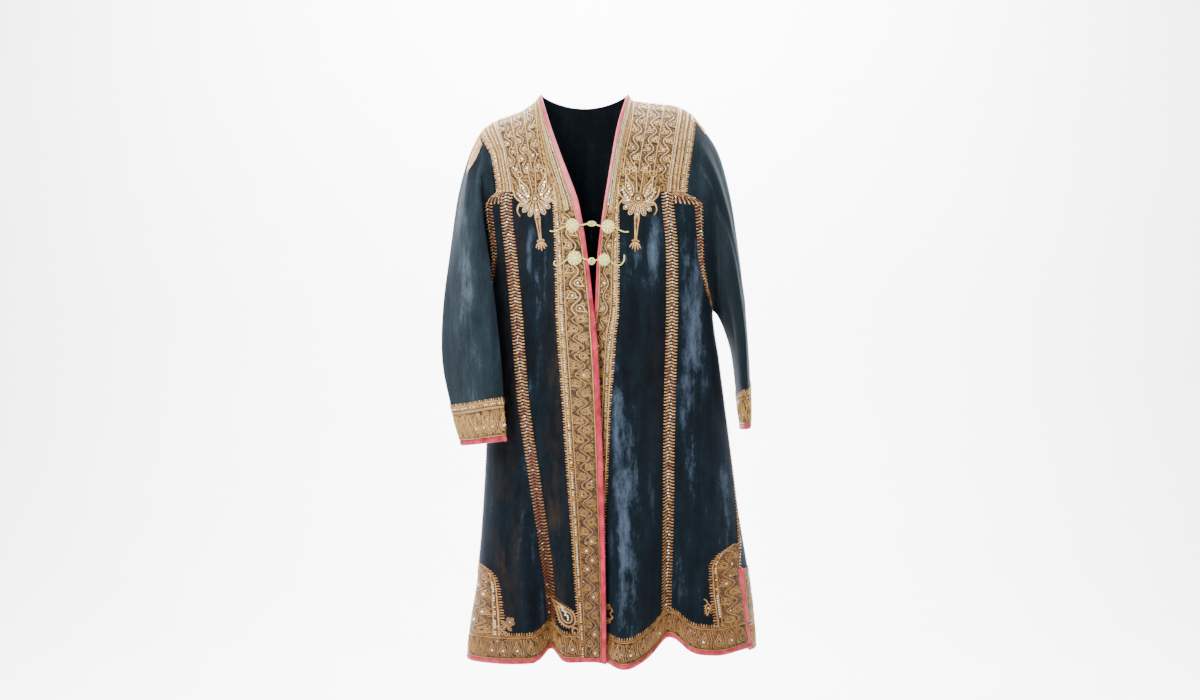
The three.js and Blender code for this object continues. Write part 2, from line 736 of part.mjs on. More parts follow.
function addBack(grid) {
  const wall = (rows, cols) => plate(grid, rows, cols, ...WALL);
  const laid = (rows, cols) => plate(grid, rows, cols, ...LAID);
  const [whole, middle] = [[BACK.left, BACK.right], [BACK.leftIn, BACK.rightIn]];
  const neck = [BACK.neckLeft, BACK.neckRight];
  add("back", wall([HEM_ROW.binding, TOP], whole), "velvet");
  add("hem_binding_back", plate(grid, [0, HEM_ROW.binding], whole, ...EDGE), "satin");
  add("hem_border_back", laid(HEM_BAND, middle), "embroidery");
  add("slit_binding_back_left", laid(SLIT, [BACK.left, BACK.leftIn]), "satin");
  add("slit_binding_back_right", laid(SLIT, [BACK.rightIn, BACK.right]), "satin");
  add("slit_border_back_left", laid(SLIT_BAND, [BACK.leftIn, BACK.leftBorder]), "embroidery");
  add("slit_border_back_right", laid(SLIT_BAND, [BACK.rightBorder, BACK.rightIn]), "embroidery");
  add("yoke_back_left", laid([SHOULDER_BAND, TOP], [BACK.left, BACK.neckLeft]), "embroidery");
  add("yoke_back_right", laid([SHOULDER_BAND, TOP], [BACK.neckRight, BACK.right]), "embroidery");
  add("neck_border_back", laid([SHOULDER_BAND, NECK_BAND], neck), "embroidery");
  add("neck_binding_back", laid([NECK_BAND, TOP], neck), "satin");
}

function addSleeve(name, grid) {
  const all = [0, grid[0].length];
  const cuff = SLEEVE_STEPS * (CUFF_ROW + 1);
  const hem = grid.length - 2;
  const top = 2 * QUARTER;
  add(`sleeve_${name}`, plate(grid, [0, hem], all, ...WALL), "velvet");
  add(`shoulder_strip_${name}`, plate(grid, [0, STRIP_RINGS], [top - 1, top + 1], ...LAID), "embroidery");
  add(`cuff_${name}`, plate(grid, [cuff, hem], all, ...LAID), "embroidery");
  add(`cuff_binding_${name}`, plate(grid, [hem, grid.length - 1], all, ...EDGE), "satin");
}

// ---- embroidered shapes that lie alone on the velvet, each cut out of a laid layer ----

// An outline about an axis from the point from to the point to, from a table of half widths.
function aboutAxis(from, to, profile) {
  const start = new THREE.Vector2(...from);
  const along = new THREE.Vector2(...to).sub(start);
  const across = new THREE.Vector2(-along.y, along.x).normalize();
  const at = (share, half) => start.clone().addScaledVector(along, share).addScaledVector(across, half);
  const plus = profile.map((row) => at(row.share, row.plus));
  const minus = profile.map((row) => at(row.share, -row.minus)).reverse();
  return new THREE.Shape([...plus, ...minus]);
}

function addMotif(name, grid, shape, cols, rows = [HEM_ROW.border, CORNER_TOP]) {
  add(name, cutTo(plate(grid, rows, cols, ...LAID), shape), "embroidery");
}

// A slit's corner panel lies between its inner line and the slit.
function addCorner(name, grid, line, sign) {
  const beyond = sign * 400;
  const rim = [...line, [beyond, line.at(-1)[1]], [beyond, line[0][1]]];
  const shape = new THREE.Shape(rim.map(([x, z]) => new THREE.Vector2(x, z)));
  addMotif(`slit_corner_${name}`, grid, shape, [FRONT.seamOut, FRONT.sideIn]);
}

// ---- clasps ----

// A point before a front, out from its surface.
function before(f, [x, z, out]) {
  const { p, n } = vertex(f, -1, x, z, z);
  return p.addScaledVector(n, out);
}

function cord(points, radius) {
  const section = new THREE.Shape().absarc(0, 0, radius, 0, 2 * Math.PI);
  const path = new THREE.CatmullRomCurve3(points);
  return new THREE.ExtrudeGeometry(section, {
    steps: 3 * (points.length - 1),
    curveSegments: 4,
    bevelEnabled: false,
    extrudePath: path,
  });
}

function addDisc(name, f, { x, z, radius }) {
  const { p, n } = vertex(f, -1, x, z, z);
  const profile = DISC.profile.map(([share, height]) => new THREE.Vector2(share * radius, height));
  const disc = new THREE.LatheGeometry(profile, 16);
  disc.applyQuaternion(new THREE.Quaternion().setFromUnitVectors(new THREE.Vector3(0, 1, 0), n));
  disc.translate(...p.addScaledVector(n, DISC.out));
  add(name, geometryOf(solid(disc)), "brass");
}

// The link runs from disc to disc over the opening, through a knot.
function addLink(name, { right, left, knot }) {
  const middle = new THREE.Vector3(knot.x, before(rightY, [knot.x, knot.z, LINK.out]).y, knot.z);
  const ends = [
    before(rightY, [right.x + right.radius + GAP, right.z, LINK.out]),
    before(leftY, [left.x - left.radius - GAP, left.z, LINK.out]),
  ];
  const ball = new THREE.SphereGeometry(1, 12, 8);
  ball.scale(knot.halfWidth, LINK.knotDepth, knot.halfHeight);
  ball.translate(...middle);
  const link = solid(cord([ends[0], middle, ends[1]], LINK.radius));
  add(name, geometryOf(link.add(solid(ball))), "brass");
}

function addClasp(name, clasp) {
  addDisc(`clasp_disc_${name}_right`, rightY, clasp.right);
  addDisc(`clasp_disc_${name}_left`, leftY, clasp.left);
  addLink(`clasp_link_${name}`, clasp);
  const tail = (f, points) => cord(points.map((point) => before(f, point)), LINK.radius);
  add(`clasp_tail_${name}_right`, tail(rightY, clasp.rightTail), "brass");
  add(`clasp_tail_${name}_left`, tail(leftY, clasp.leftTail), "brass");
}

// ---- the garment ----

const rightFront = frontGrid(RIGHT_LINES, -1, rightY);
const leftFront = frontGrid(LEFT_LINES, 1, leftY);
const back = backGrid(rightFront, leftFront);

addFront("right", rightFront);
addFront("left", leftFront);
addBack(back);
addSleeve("right", sleeveGrid(rightFront, back, BACK.right, RIGHT_SLEEVE));
addSleeve("left", sleeveGrid(leftFront, back, BACK.left, LEFT_SLEEVE));

addCorner("right", rightFront, RIGHT_CORNER, -1);
addCorner("left", leftFront, LEFT_CORNER, 1);

const panel = [FRONT.border, FRONT.seamIn];
const sidePanel = [FRONT.seamOut, FRONT.sideIn];
const chest = [rowOf(-340), YOKE];
addMotif("palmette_right", rightFront, aboutAxis([-111, -170], [-95, -290], PALMETTE), panel, chest);
addMotif("palmette_left", leftFront, aboutAxis([86, -170], [78, -292], PALMETTE), panel, chest);
addMotif("paisley", rightFront, aboutAxis([-70, -931], [-36, -990], PAISLEY), panel);
addMotif("flower", rightFront, aboutAxis([-171, -1003], [-149, -977], FLOWER), sidePanel);
addMotif("bud", leftFront, aboutAxis([215, -971], [215, -948], BUD), sidePanel);

addClasp("upper", UPPER_CLASP);
addClasp("lower", LOWER_CLASP);

export default group;
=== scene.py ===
import math

import bpy
import numpy as np
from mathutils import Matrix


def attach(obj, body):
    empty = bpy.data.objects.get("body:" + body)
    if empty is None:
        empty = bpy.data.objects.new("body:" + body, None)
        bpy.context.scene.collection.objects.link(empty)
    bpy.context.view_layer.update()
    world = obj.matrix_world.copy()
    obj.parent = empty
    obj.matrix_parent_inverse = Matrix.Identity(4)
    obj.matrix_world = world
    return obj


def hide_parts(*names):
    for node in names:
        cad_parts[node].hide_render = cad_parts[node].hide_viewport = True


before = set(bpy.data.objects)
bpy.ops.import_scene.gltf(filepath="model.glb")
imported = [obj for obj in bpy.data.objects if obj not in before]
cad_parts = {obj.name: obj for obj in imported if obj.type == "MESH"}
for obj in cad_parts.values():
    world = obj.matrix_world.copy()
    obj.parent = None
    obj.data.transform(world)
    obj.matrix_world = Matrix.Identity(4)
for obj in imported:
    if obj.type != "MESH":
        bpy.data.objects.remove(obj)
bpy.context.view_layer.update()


def add_camera():
    """Straight at the open front, level, with the whole caftan in the frame."""
    data = bpy.data.cameras.new("camera")
    data.sensor_width = 36
    data.lens = 50.95
    camera = bpy.data.objects.new("camera", data)
    camera.location = (0.0133, -3.28, -0.475)
    camera.rotation_euler = (math.pi / 2, 0, 0)
    bpy.context.collection.objects.link(camera)
    bpy.context.scene.camera = camera


add_camera()

# Lengths are in millimetres until a mesh is made.
MM = 0.001

# ---- the garment's sizes, as in the CAD ----


def curve(xs, ys):
    """A smooth curve through the points that never overshoots them."""
    order = np.argsort(xs)
    xs, ys = np.asarray(xs, float)[order], np.asarray(ys, float)[order]
    slope = np.diff(ys) / np.diff(xs)
    tangent = np.empty(len(xs))
    tangent[0], tangent[-1] = slope[0], slope[-1]
    a, b = slope[:-1], slope[1:]
    tangent[1:-1] = np.where(a * b > 0, 2 * a * b / np.where(a + b == 0, 1, a + b), 0)

    def at(v):
        v = np.clip(v, xs[0], xs[-1])
        i = np.clip(np.searchsorted(xs, v, side="right") - 1, 0, len(xs) - 2)
        run = xs[i + 1] - xs[i]
        t = (v - xs[i]) / run
        t2, t3 = t * t, t * t * t
        low = (2 * t3 - 3 * t2 + 1) * ys[i] + (t3 - 2 * t2 + t) * run * tangent[i]
        return low + (3 * t2 - 2 * t3) * ys[i + 1] + (t3 - t2) * run * tangent[i + 1]

    return at


def curves(names, rows):
    """One curve for each named column after the first, read at the first."""
    keys = names.split()
    columns = list(zip(*rows))
    return {key: curve(columns[0], columns[i]) for i, key in enumerate(keys) if i}


SECTION = curves(
    "z left right front back",
    [
        (40, -236, 246, 46, 62), (-60, -236, 246, 80, 84), (-130, -236, 246, 97, 98),
        (-200, -234, 244, 108, 104), (-300, -222, 237, 117, 104), (-397, -204, 229, 119, 98),
        (-500, -199, 242, 117, 94), (-650, -204, 261, 117, 94), (-800, -212, 281, 121, 100),
        (-920, -223, 300, 125, 106), (-1000, -236, 312, 128, 110), (-1070, -243, 318, 130, 113),
    ],
)
RIGHT_LINES = curves(
    "z edge bind border seam",
    [
        (20, -101, 6, -110, -178), (-50, -80, 8, -104, -173), (-110, -59, 9, -96, -166),
        (-178, -33, 13, -76, -160), (-196, -27, 12, -74, -163), (-300, -9, 8, -68, -153),
        (-397, 2, 8, -66, -144), (-437, 7, 11, -64, -141), (-564, 14, 11, -55, -131),
        (-692, 19, 11, -47, -113), (-819, 22, 10, -38, -96), (-946, 24, 9, -30, -82),
        (-1070, 25, 9, -22, -76),
    ],
)
LEFT_LINES = curves(
    "z edge bind border seam",
    [
        (20, 66, 6, 79, 139), (-50, 46, 7, 70, 139), (-110, 35, 6, 58, 139), (-178, 24, 6, 50, 139),
        (-196, 21, 6, 48, 140), (-300, 8, 5, 47, 148), (-397, 3, 6, 46, 148), (-450, -8, 8, 40, 147),
        (-564, -24, 9, 32, 144), (-692, -30, 9, 27, 142), (-819, -36, 9, 21, 141),
        (-1070, -40, 9, 17, 137),
    ],
)
SIDE = curves(
    "z right left",
    [
        (20, -216, 200), (-50, -215, 192), (-110, -199, 184), (-178, -188, 176), (-196, -204, 206),
        (-300, -191, 209), (-397, -204, 229),
    ],
)
SIDE_TURN = curves(
    "z right left",
    [
        (-397, 90, 90), (-560, 90, 89), (-720, 90, 84), (-845, 90, 75), (-905, 90, 67), (-980, 90, 66),
        (-1070, 90, 68),
    ],
)
SHOULDER = curves(
    "x z",
    [
        (-240, -90), (-216, -56), (-196, -38), (-169, -27), (-137, -15), (-112, 3), (-101, 16), (-70, 33),
        (-18, 42), (35, 33), (66, 18), (77, 5), (114, 0), (156, -5), (182, -16), (203, -36), (250, -95),
    ],
)["z"]
NECK_RIGHT, NECK_LEFT = -101, 66
BACK_LINES = curves("z right left", [(20, NECK_RIGHT, NECK_LEFT), (-400, -92, 98), (-1070, -84, 128)])

# head, hem, wide, out, top, lift of each large fold
FRONT_FOLDS = [
    (-140, -79, 17, -52, -560, 19), (-185, -165, 34, 8, -700, 0), (30, 60, 34, 26, -480, -13),
    (140, 145, 30, -50, -400, 30), (225, 240, 30, 8, -560, -4),
]
BACK_FOLDS = [
    (-150, -165, 34, 16, -480, -4), (-70, -95, 30, -26, -380, 10), (-10, 0, 36, 18, -420, -4),
    (70, 95, 30, -28, -360, 12), (150, 190, 40, 18, -460, -4),
]

ROUNDNESS = 2.4
HEM, BACK_HEM, HEM_SLOPE, FADE_TOP = -1066, -1046, 0.05, -600
YOKE_Z, WAIST = -178, -397
HEM_ROWS = [0, 9, 53]
BODY_ROWS = [-905, -845, -770, -690, -610, -530, -465, WAIST, -340, -265, -196, YOKE_Z]
YOKE_ROWS = [0.35, 0.6, 0.78, 0.9, 0.955, 1]
ROWS = [("above", v) for v in HEM_ROWS] + [("level", v) for v in BODY_ROWS]
ROWS += [("share", v) for v in YOKE_ROWS]
TOP = len(ROWS) - 1
BINDING_ROW, BORDER_ROW, SLIT_TOP, CORNER_TOP, ARMPIT, BAR, YOKE = 1, 2, 3, 4, 10, 13, 14
SHOULDER_BAND, NECK_BAND = YOKE + 3, TOP - 1
EDGE, BIND, BORDER, SEAM_IN, SEAM, SEAM_OUT, SIDE_IN, SIDE_OUT, SIDE_COL = 0, 1, 3, 7, 8, 9, 12, 13, 14
SEAM_HALF, BACK_COLS = 8, 12
BACK_SIDE_TUCK = [13, 8, 0]  # how far inside the fronts the back's outermost columns lie at a slit

# Small creases, each a line from one point to another: x0 z0 x1 z1, its half width and its height.
RIGHT_CREASES = [
    (-172, -205, -120, -330, 10, -2.4), (-186, -215, -168, -420, 8, 2.2),
    (-120, -330, -112, -560, 13, -3.0), (-92, -420, -100, -760, 15, 3.2),
    (-150, -520, -165, -860, 14, -3.6), (-178, -480, -192, -820, 11, 2.6),
    (-118, -700, -128, -1000, 12, 3.0), (-60, -640, -52, -980, 10, -2.0),
    (-140, -60, -150, -170, 12, 1.6), (-96, -190, -100, -300, 11, -1.6),
    (-130, -250, -175, -262, 7, -1.4), (-196, -600, -205, -900, 9, -2.2),
]
LEFT_CREASES = [
    (62, -215, 70, -420, 11, 2.6), (90, -230, 104, -520, 13, -2.8), (120, -250, 122, -470, 8, 2.0),
    (170, -215, 196, -330, 9, -2.6), (186, -210, 176, -420, 8, 2.4), (192, -330, 208, -640, 12, -3.6),
    (214, -420, 236, -820, 12, 3.4), (168, -420, 186, -760, 11, 2.8), (96, -560, 104, -960, 14, -3.2),
    (30, -560, 22, -940, 12, 2.6), (118, -60, 128, -168, 12, -1.4), (150, -700, 190, -880, 8, -2.4),
    (206, -640, 250, -800, 8, 2.2), (240, -700, 262, -960, 11, -2.8),
]
BACK_CREASES = [
    (-150, -120, -90, -300, 16, -3.0), (150, -120, 96, -310, 16, -3.0), (-110, -300, -130, -700, 15, 3.2),
    (40, -320, 30, -760, 17, 3.4), (-40, -360, -46, -820, 12, -3.0), (120, -380, 150, -800, 14, -3.4),
    (190, -420, 220, -800, 12, 2.6), (-180, -420, -190, -860, 11, -2.8), (60, -700, 70, -1020, 12, -2.6),
    (-10, -60, -20, -190, 22, -2.0),
]


def clamp(v):
    return np.clip(v, 0, 1)


def smooth(v):
    v = clamp(v)
    return v * v * (3 - 2 * v)


def power(v, p):
    return np.sign(v) * np.abs(v) ** p


def spline(a, b, c, d, t):
    """The point at share t of the way from b to c, on a smooth line through all four."""
    return b + 0.5 * t * (c - a + t * (2 * a - 5 * b + 4 * c - d + t * (3 * b - a - 3 * c + d)))


def ring(z):
    left, right = SECTION["left"](z), SECTION["right"](z)
    return (left + right) / 2, (right - left) / 2


def angle_of(z, x):
    centre, half = ring(z)
    return np.arcsin(power(np.clip((x - centre) / half, -1, 1), ROUNDNESS / 2))


def x_of(z, angle):
    centre, half = ring(z)
    return centre + half * power(np.sin(angle), 2 / ROUNDNESS)


def bump(fold, x, z):
    head, hem, wide, _, top, _ = fold
    grown = clamp((top - z) / (top - HEM))
    return grown**1.3 * np.exp(-(((x - head - (hem - head) * grown) / wide) ** 2))


def crest(off, along, last):
    """How high a fold stands beside its line, dying out over the first and the last of its length."""
    return np.exp(-(off**2)) * smooth(along / 0.3) * smooth((1 - along) / last)


def creases(table, x, z):
    """Soft ridges and troughs along lines, dying out towards both ends."""
    total = 0.0
    for x0, z0, x1, z1, wide, high in table:
        length = math.hypot(x1 - x0, z1 - z0)
        ux, uz = (x1 - x0) / length, (z1 - z0) / length
        along = ((x - x0) * ux + (z - z0) * uz) / length
        off = (x - x0) * uz - (z - z0) * ux + 0.12 * wide * np.sin(along * 9 + x0)
        total = total + high * crest(off / wide, along, 0.35)
    return total


def unevenness(x, z):
    """The slight waviness of old cloth."""
    wave = np.sin(x / 31 + z / 53) + np.sin(x / 17 - z / 71 + 1.3) + np.sin(x / 47 + z / 29 + 2.1)
    return 0.42 * wave


def reach(depth, folds, table, x, z):
    centre, half = ring(z)
    side = (1 - np.minimum(1, np.abs((x - centre) / half)) ** ROUNDNESS) ** (1 / ROUNDNESS)
    below = clamp((SHOULDER(x) - z) / 150)
    top = (1 - (1 - below) ** 2.2) ** (1 / 2.2)
    out = sum(fold[3] * bump(fold, x, z) for fold in folds)
    fine = (creases(table, x, z) + unevenness(x, z)) * smooth(below * 2.5)
    return (SECTION[depth](z) * top + out + fine) * side


def right_y(x, z):
    return -reach("front", FRONT_FOLDS, RIGHT_CREASES, x, z)


def left_y(x, z):
    overlap = smooth((-330 - z) / 150)
    tuck = 17 * overlap * smooth((RIGHT_LINES["edge"](z) + 24 - x) / 24)
    return tuck - reach("front", FRONT_FOLDS, LEFT_CREASES, x, z)


def back_y(x, z):
    return reach("back", BACK_FOLDS, BACK_CREASES, x, z)


def hem_z(folds, x):
    line = HEM + HEM_SLOPE * (x + 240) if folds is FRONT_FOLDS else BACK_HEM
    return line + sum(fold[5] * bump(fold, x, HEM) for fold in folds)


def neck_z(x):
    u = np.clip(2 * (x - NECK_RIGHT) / (NECK_LEFT - NECK_RIGHT) - 1, -1, 1)
    return np.where(np.abs(u) >= 1, SHOULDER(x), SHOULDER(NECK_LEFT) - 20 * (1 - u * u))


def row_height(row, folds, x, top_z):
    kind, value = row
    if kind == "share":
        return YOKE_Z + (top_z(x) - YOKE_Z) * value
    if kind == "above":
        return hem_z(folds, x) + value
    fade = clamp((FADE_TOP - value) / (FADE_TOP - HEM - HEM_ROWS[-1]))
    return value + (hem_z(folds, x) - HEM) * fade


def settled_rows(folds, top_z, x_at, columns):
    """The level and height of every row of the table at every fine column."""
    levels, heights = [], []
    for row in ROWS:
        start = {"share": YOKE_Z, "above": HEM + row[1], "level": row[1]}[row[0]]
        level = np.full(columns.shape, float(start))
        height = row_height(row, folds, x_at(level, columns), top_z)
        for _ in range(8 if row[0] == "share" else 0):
            level = height
            height = row_height(row, folds, x_at(level, columns), top_z)
        levels.append(level)
        heights.append(height)
    return np.array(levels), np.array(heights)


def between(table, at):
    """Rows of an array read at fractional places along its first axis."""
    low = np.clip(np.floor(at).astype(int), 0, len(table) - 2)
    t = (at - low).reshape((-1,) + (1,) * (table.ndim - 1))
    return table[low] * (1 - t) + table[low + 1] * t


def pick(stack, columns):
    """A stack of columns, first axis, read at fractional columns that vary over the last axis."""
    low = np.clip(np.floor(columns).astype(int), 0, len(stack) - 2)
    index = np.arange(stack.shape[-1])
    t = columns - low
    return stack[low, ..., index].T * (1 - t) + stack[low + 1, ..., index].T * t


def further(z, turn, length):
    depth = np.where(turn > math.pi / 2, SECTION["back"](z), SECTION["front"](z))
    return turn + length / np.hypot(ring(z)[1] * np.cos(turn), depth * np.sin(turn))


def side_turn(side, sign, z):
    low = np.radians(SIDE_TURN[side](z))
    return np.where(z < WAIST, low, sign * angle_of(z, SIDE[side](z)))


def front_turns(lines, side, sign, z):
    """How far round the ring each column of a front lies, from the middle."""
    edge, seam, border = lines["edge"](z), lines["seam"](z), lines["border"](z)
    out = edge + sign * lines["bind"](z)
    gap = sign * SEAM_HALF
    xs = (edge, out, (out + border) / 2, border, seam - gap, seam, seam + gap)
    t_edge, t_bind, t_middle, t_border, t_in, t_seam, t_out = (sign * angle_of(z, x) for x in xs)
    end = side_turn(side, sign, z)
    far, near = further(z, end, -10), further(z, end, -3)
    return np.array(
        [t_edge, t_bind, t_middle, t_border]
        + [t_border + (t_in - t_border) * k / 4 for k in (1, 2, 3)]
        + [t_in, t_seam, t_out]
        + [t_out + (far - t_out) * k / 3 for k in (1, 2)]
        + [far, near, end]
    )


def back_turns(z):
    def half(side, sign):
        seam = side_turn(side, sign, z)
        seam = np.where(z > WAIST, math.pi - seam, seam)
        neck = math.pi - np.abs(angle_of(z, BACK_LINES[side](z)))
        second = further(z, seam, 10)
        third = np.maximum(math.pi / 2, second + (neck - second) / 3)
        return [seam, second, third, (third + neck) / 2, neck]

    left, right = half("left", 1), [2 * math.pi - t for t in half("right", -1)]
    middle = [left[-1] + (right[-1] - left[-1]) * k / 4 for k in (1, 2, 3)]
    return np.array(left + middle + right[::-1])


class Grid:
    """Fine points over part of the garment, PER_ROW by PER_COL to each cell of the CAD's grid."""

    def __init__(self, points, per_row, per_col, outwards, closed=False):
        self.p, self.per_row, self.per_col, self.closed = points, per_row, per_col, closed
        if closed:
            wide = np.concatenate([points[:, -2:], points, points[:, :2]], 1)
            around = np.gradient(wide, axis=1)[:, 2:-2]
        else:
            around = np.gradient(points, axis=1)
        n = np.cross(around, np.gradient(points, axis=0)) * outwards
        self.n = n / np.maximum(np.linalg.norm(n, axis=2, keepdims=True), 1e-9)

    def part(self, rows, cols):
        """Points and normals from row to row and column to column of the CAD's grid."""
        r = [round(v * self.per_row) for v in rows]
        c = [round(v * self.per_col) for v in cols]
        index = np.arange(c[0], c[1] + 1) % self.p.shape[1]
        return self.p[r[0] : r[1] + 1][:, index], self.n[r[0] : r[1] + 1][:, index]


PER_ROW, PER_COL = ((9, 7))
FINE_ROWS = np.arange(TOP * PER_ROW + 1) / PER_ROW


def front_grid(lines, side, sign, f):
    columns = np.arange(SIDE_COL * PER_COL + 1) / PER_COL

    def x_at(z, c):
        return x_of(z, sign * pick(front_turns(lines, side, sign, z), c))

    levels, heights = settled_rows(FRONT_FOLDS, SHOULDER, x_at, columns)
    level, height = between(levels, FINE_ROWS), between(heights, FINE_ROWS)
    x = np.array([x_at(row, columns) for row in level])
    return Grid(np.stack([x, f(x, level), height], 2), PER_ROW, PER_COL, sign)


def back_grid(right, left):
    columns = np.arange(BACK_COLS * PER_COL + 1) / PER_COL

    def x_at(z, c):
        return x_of(z, pick(back_turns(z), c))

    levels, heights = settled_rows(BACK_FOLDS, neck_z, x_at, columns)
    level, height = between(levels, FINE_ROWS), between(heights, FINE_ROWS)
    turn = np.array([pick(back_turns(row), columns) for row in level])
    x = x_of(level, turn)
    y = np.where(np.cos(turn) > 1e-6, left_y(x, level), back_y(x, level))
    points = np.stack([x, y, height], 2)
    # The seams are shared with the fronts, fading in over the first column.
    above = FINE_ROWS > ARMPIT
    for grid, column, step in ((left, 0, 1), (right, -1, -1)):
        seam = grid.p[:, -1].copy()
        seam[above, 1] = back_y(seam[above, 0], seam[above, 2])
        seam[-1] = grid.p[-1, -1]
        shift = seam - points[:, column]
        for k in range(PER_COL):
            points[:, column + step * k] += shift * (1 - k / PER_COL)
    grid = Grid(points, PER_ROW, PER_COL, 1)
    # Below the top of the slits the back's edges pass inside the fronts.
    from_seam = np.minimum(columns, BACK_COLS - columns)
    inwards = np.interp(from_seam, [0, 1, 2], BACK_SIDE_TUCK)
    below = clamp(SLIT_TOP - FINE_ROWS)
    return Grid(points - grid.n * inwards[None, :, None] * below[:, None, None], PER_ROW, PER_COL, 1)


# Sleeves: the outer line, the front fold, the underarm and the back of each ring.
RIGHT_SLEEVE = [
    ((-239, 2, -98), (-211, -84, -150), (-212, -8, -408), (-214, 84, -200)),
    ((-262, 4, -180), (-207, -104, -215), (-217, -22, -420), (-236, 82, -280)),
    ((-277, 2, -290), (-193, -112, -305), (-222, -34, -442), (-254, 66, -365)),
    ((-289, -4, -400), (-180, -114, -405), (-216, -46, -480), (-266, 44, -440)),
    ((-288, -12, -495), (-171, -117, -492), (-207, -57, -525), (-268, 30, -515)),
    ((-272, -20, -583), (-166, -121, -566), (-197, -67, -572), (-256, 14, -580)),
    ((-254, -24, -648), (-162, -123, -634), (-188, -73, -634), (-242, 6, -642)),
    ((-251, -25, -658), (-160, -123, -644), (-186, -74, -643), (-239, 5, -652)),
]
LEFT_SLEEVE = [
    ((238, 0, -86), (212, -80, -150), (236, 0, -404), (212, 80, -160)),
    ((262, 0, -165), (238, -88, -220), (243, 0, -414), (236, 84, -240)),
    ((276, 0, -250), (258, -90, -290), (251, 0, -432), (256, 84, -310)),
    ((287, 0, -345), (272, -88, -365), (260, 0, -458), (270, 82, -380)),
    ((296, 0, -440), (282, -83, -445), (269, 0, -498), (280, 77, -455)),
    ((302, 0, -536), (289, -74, -552), (277, 0, -566), (288, 66, -548)),
    ((303, -2, -606), (293, -64, -614), (284, -2, -618), (292, 56, -606)),
    ((301, -2, -616), (292, -63, -625), (284, -2, -628), (291, 55, -615)),
]
QUARTER = (TOP - ARMPIT) // 2
ROUND = (0, 4 * QUARTER)
TAIL_RING = 2.8  # where the stitches over the right shoulder end
CUFF_RING, SLEEVE_HEM, LAST_RING = 12, 14, 15
RING_SLOPE = 1.3
PER_RING = 6


def sleeve_ring(row, count):
    outer, front, under, behind = (np.array(p, float) for p in row)
    forwards = (front - behind) * (1, 1, 0)
    forwards /= np.linalg.norm(forwards)
    points = []
    for j in range(count):
        turn = 2 * math.pi * j / count
        run, rest = abs(math.sin(turn)), 1 - abs(math.cos(turn))
        side = under if math.cos(turn) > 0 else outer
        across = (front if math.sin(turn) > 0 else behind) - side
        along = across @ forwards
        square = (across - along * forwards) * (rest, rest, run**RING_SLOPE)
        points.append(side + forwards * along * run + square)
    return np.array(points)


def sleeve_grid(front, back, back_column, table, outwards, wrinkles):
    """Rings from the armhole to the cuff's end, each opened by the armhole's own points."""
    count = 4 * QUARTER * PER_COL
    rows = ARMPIT + (TOP - ARMPIT) * np.arange(count // 2 + 1) / (count // 2)
    up = between(front.p[:, -1], rows * PER_ROW)
    down = between(back.p[:, back_column], rows * PER_ROW)
    main = np.array([np.concatenate([up, down[-2:0:-1]])] + [sleeve_ring(row, count) for row in table])
    rings = []
    for i in range(len(main) - 1):
        steps = PER_RING * (1 if i == len(main) - 2 else 2)
        a, b, c, d = main[max(0, i - 1)], main[i], main[i + 1], main[min(len(main) - 1, i + 2)]
        for k in range(steps):
            rings.append(spline(a, b, c, d, k / steps))
    points = np.array(rings + [main[-1]])
    grid = Grid(points, PER_RING, PER_COL, outwards, closed=True)
    g = (np.arange(len(points)) / PER_RING)[:, None]
    j = (np.arange(count) / PER_COL)[None, :]
    total = 0.16 * (np.sin(g * 1.9 + j * 1.3) + np.sin(j * 2.1 - g * 1.1 + 2))
    for g0, j0, g1, j1, wide, high in wrinkles:
        length2 = (g1 - g0) ** 2 + (j1 - j0) ** 2
        along = ((g - g0) * (g1 - g0) + (j - j0) * (j1 - j0)) / length2
        off = ((g - g0) * (j1 - j0) - (j - j0) * (g1 - g0)) / math.sqrt(length2)
        total = total + high * crest(off / wide, along, 0.3)
    total = total * smooth(g / 1.2) * smooth((LAST_RING - g) / 3)
    return Grid(points + grid.n * total[..., None], PER_RING, PER_COL, outwards, closed=True)


# Fine ridges and troughs: ring and place round the ring of each end, half width, height.
RIGHT_WRINKLES = [
    (0.4, 6.5, 4.5, 6.0, 0.5, -3.0), (0.6, 7.8, 5.0, 7.6, 0.5, 2.4), (1.0, 9.0, 6.0, 9.4, 0.6, -2.0),
    (4.0, 5.6, 10.5, 5.7, 0.35, 1.6), (5.5, 6.4, 11.5, 6.6, 0.5, -2.0), (6.5, 8.0, 8.0, 9.8, 0.5, -1.8),
    (8.0, 7.0, 9.2, 9.5, 0.5, 1.6), (9.0, 6.2, 10.0, 8.8, 0.45, -1.5), (6.0, 12.0, 11.0, 12.5, 0.6, -2.6),
    (2.0, 13.0, 8.0, 13.4, 0.6, 2.6), (5.0, 2.0, 10.0, 2.4, 0.6, -2.0),
]
LEFT_WRINKLES = [
    (0.3, 6.0, 5.0, 5.6, 0.45, -3.4), (0.3, 7.2, 6.0, 6.6, 0.45, 2.8), (0.8, 8.4, 6.5, 8.0, 0.5, -2.6),
    (2.0, 5.0, 8.0, 5.0, 0.3, 1.6), (4.0, 6.0, 9.0, 7.4, 0.4, -2.2), (6.0, 5.4, 12.0, 6.0, 0.4, 1.6),
    (6.0, 9.0, 7.6, 11.0, 0.5, -2.0), (8.4, 8.0, 9.6, 11.0, 0.5, 1.6), (3.0, 12.5, 9.0, 13.0, 0.6, -2.8),
    (5.0, 1.5, 10.5, 2.0, 0.5, -1.8),
]

right_front = front_grid(RIGHT_LINES, "right", -1, right_y)
left_front = front_grid(LEFT_LINES, "left", 1, left_y)
back = back_grid(right_front, left_front)
right_sleeve = sleeve_grid(right_front, back, -1, RIGHT_SLEEVE, 1, RIGHT_WRINKLES)
left_sleeve = sleeve_grid(left_front, back, 0, LEFT_SLEEVE, -1, LEFT_WRINKLES)

# ---- meshes ----


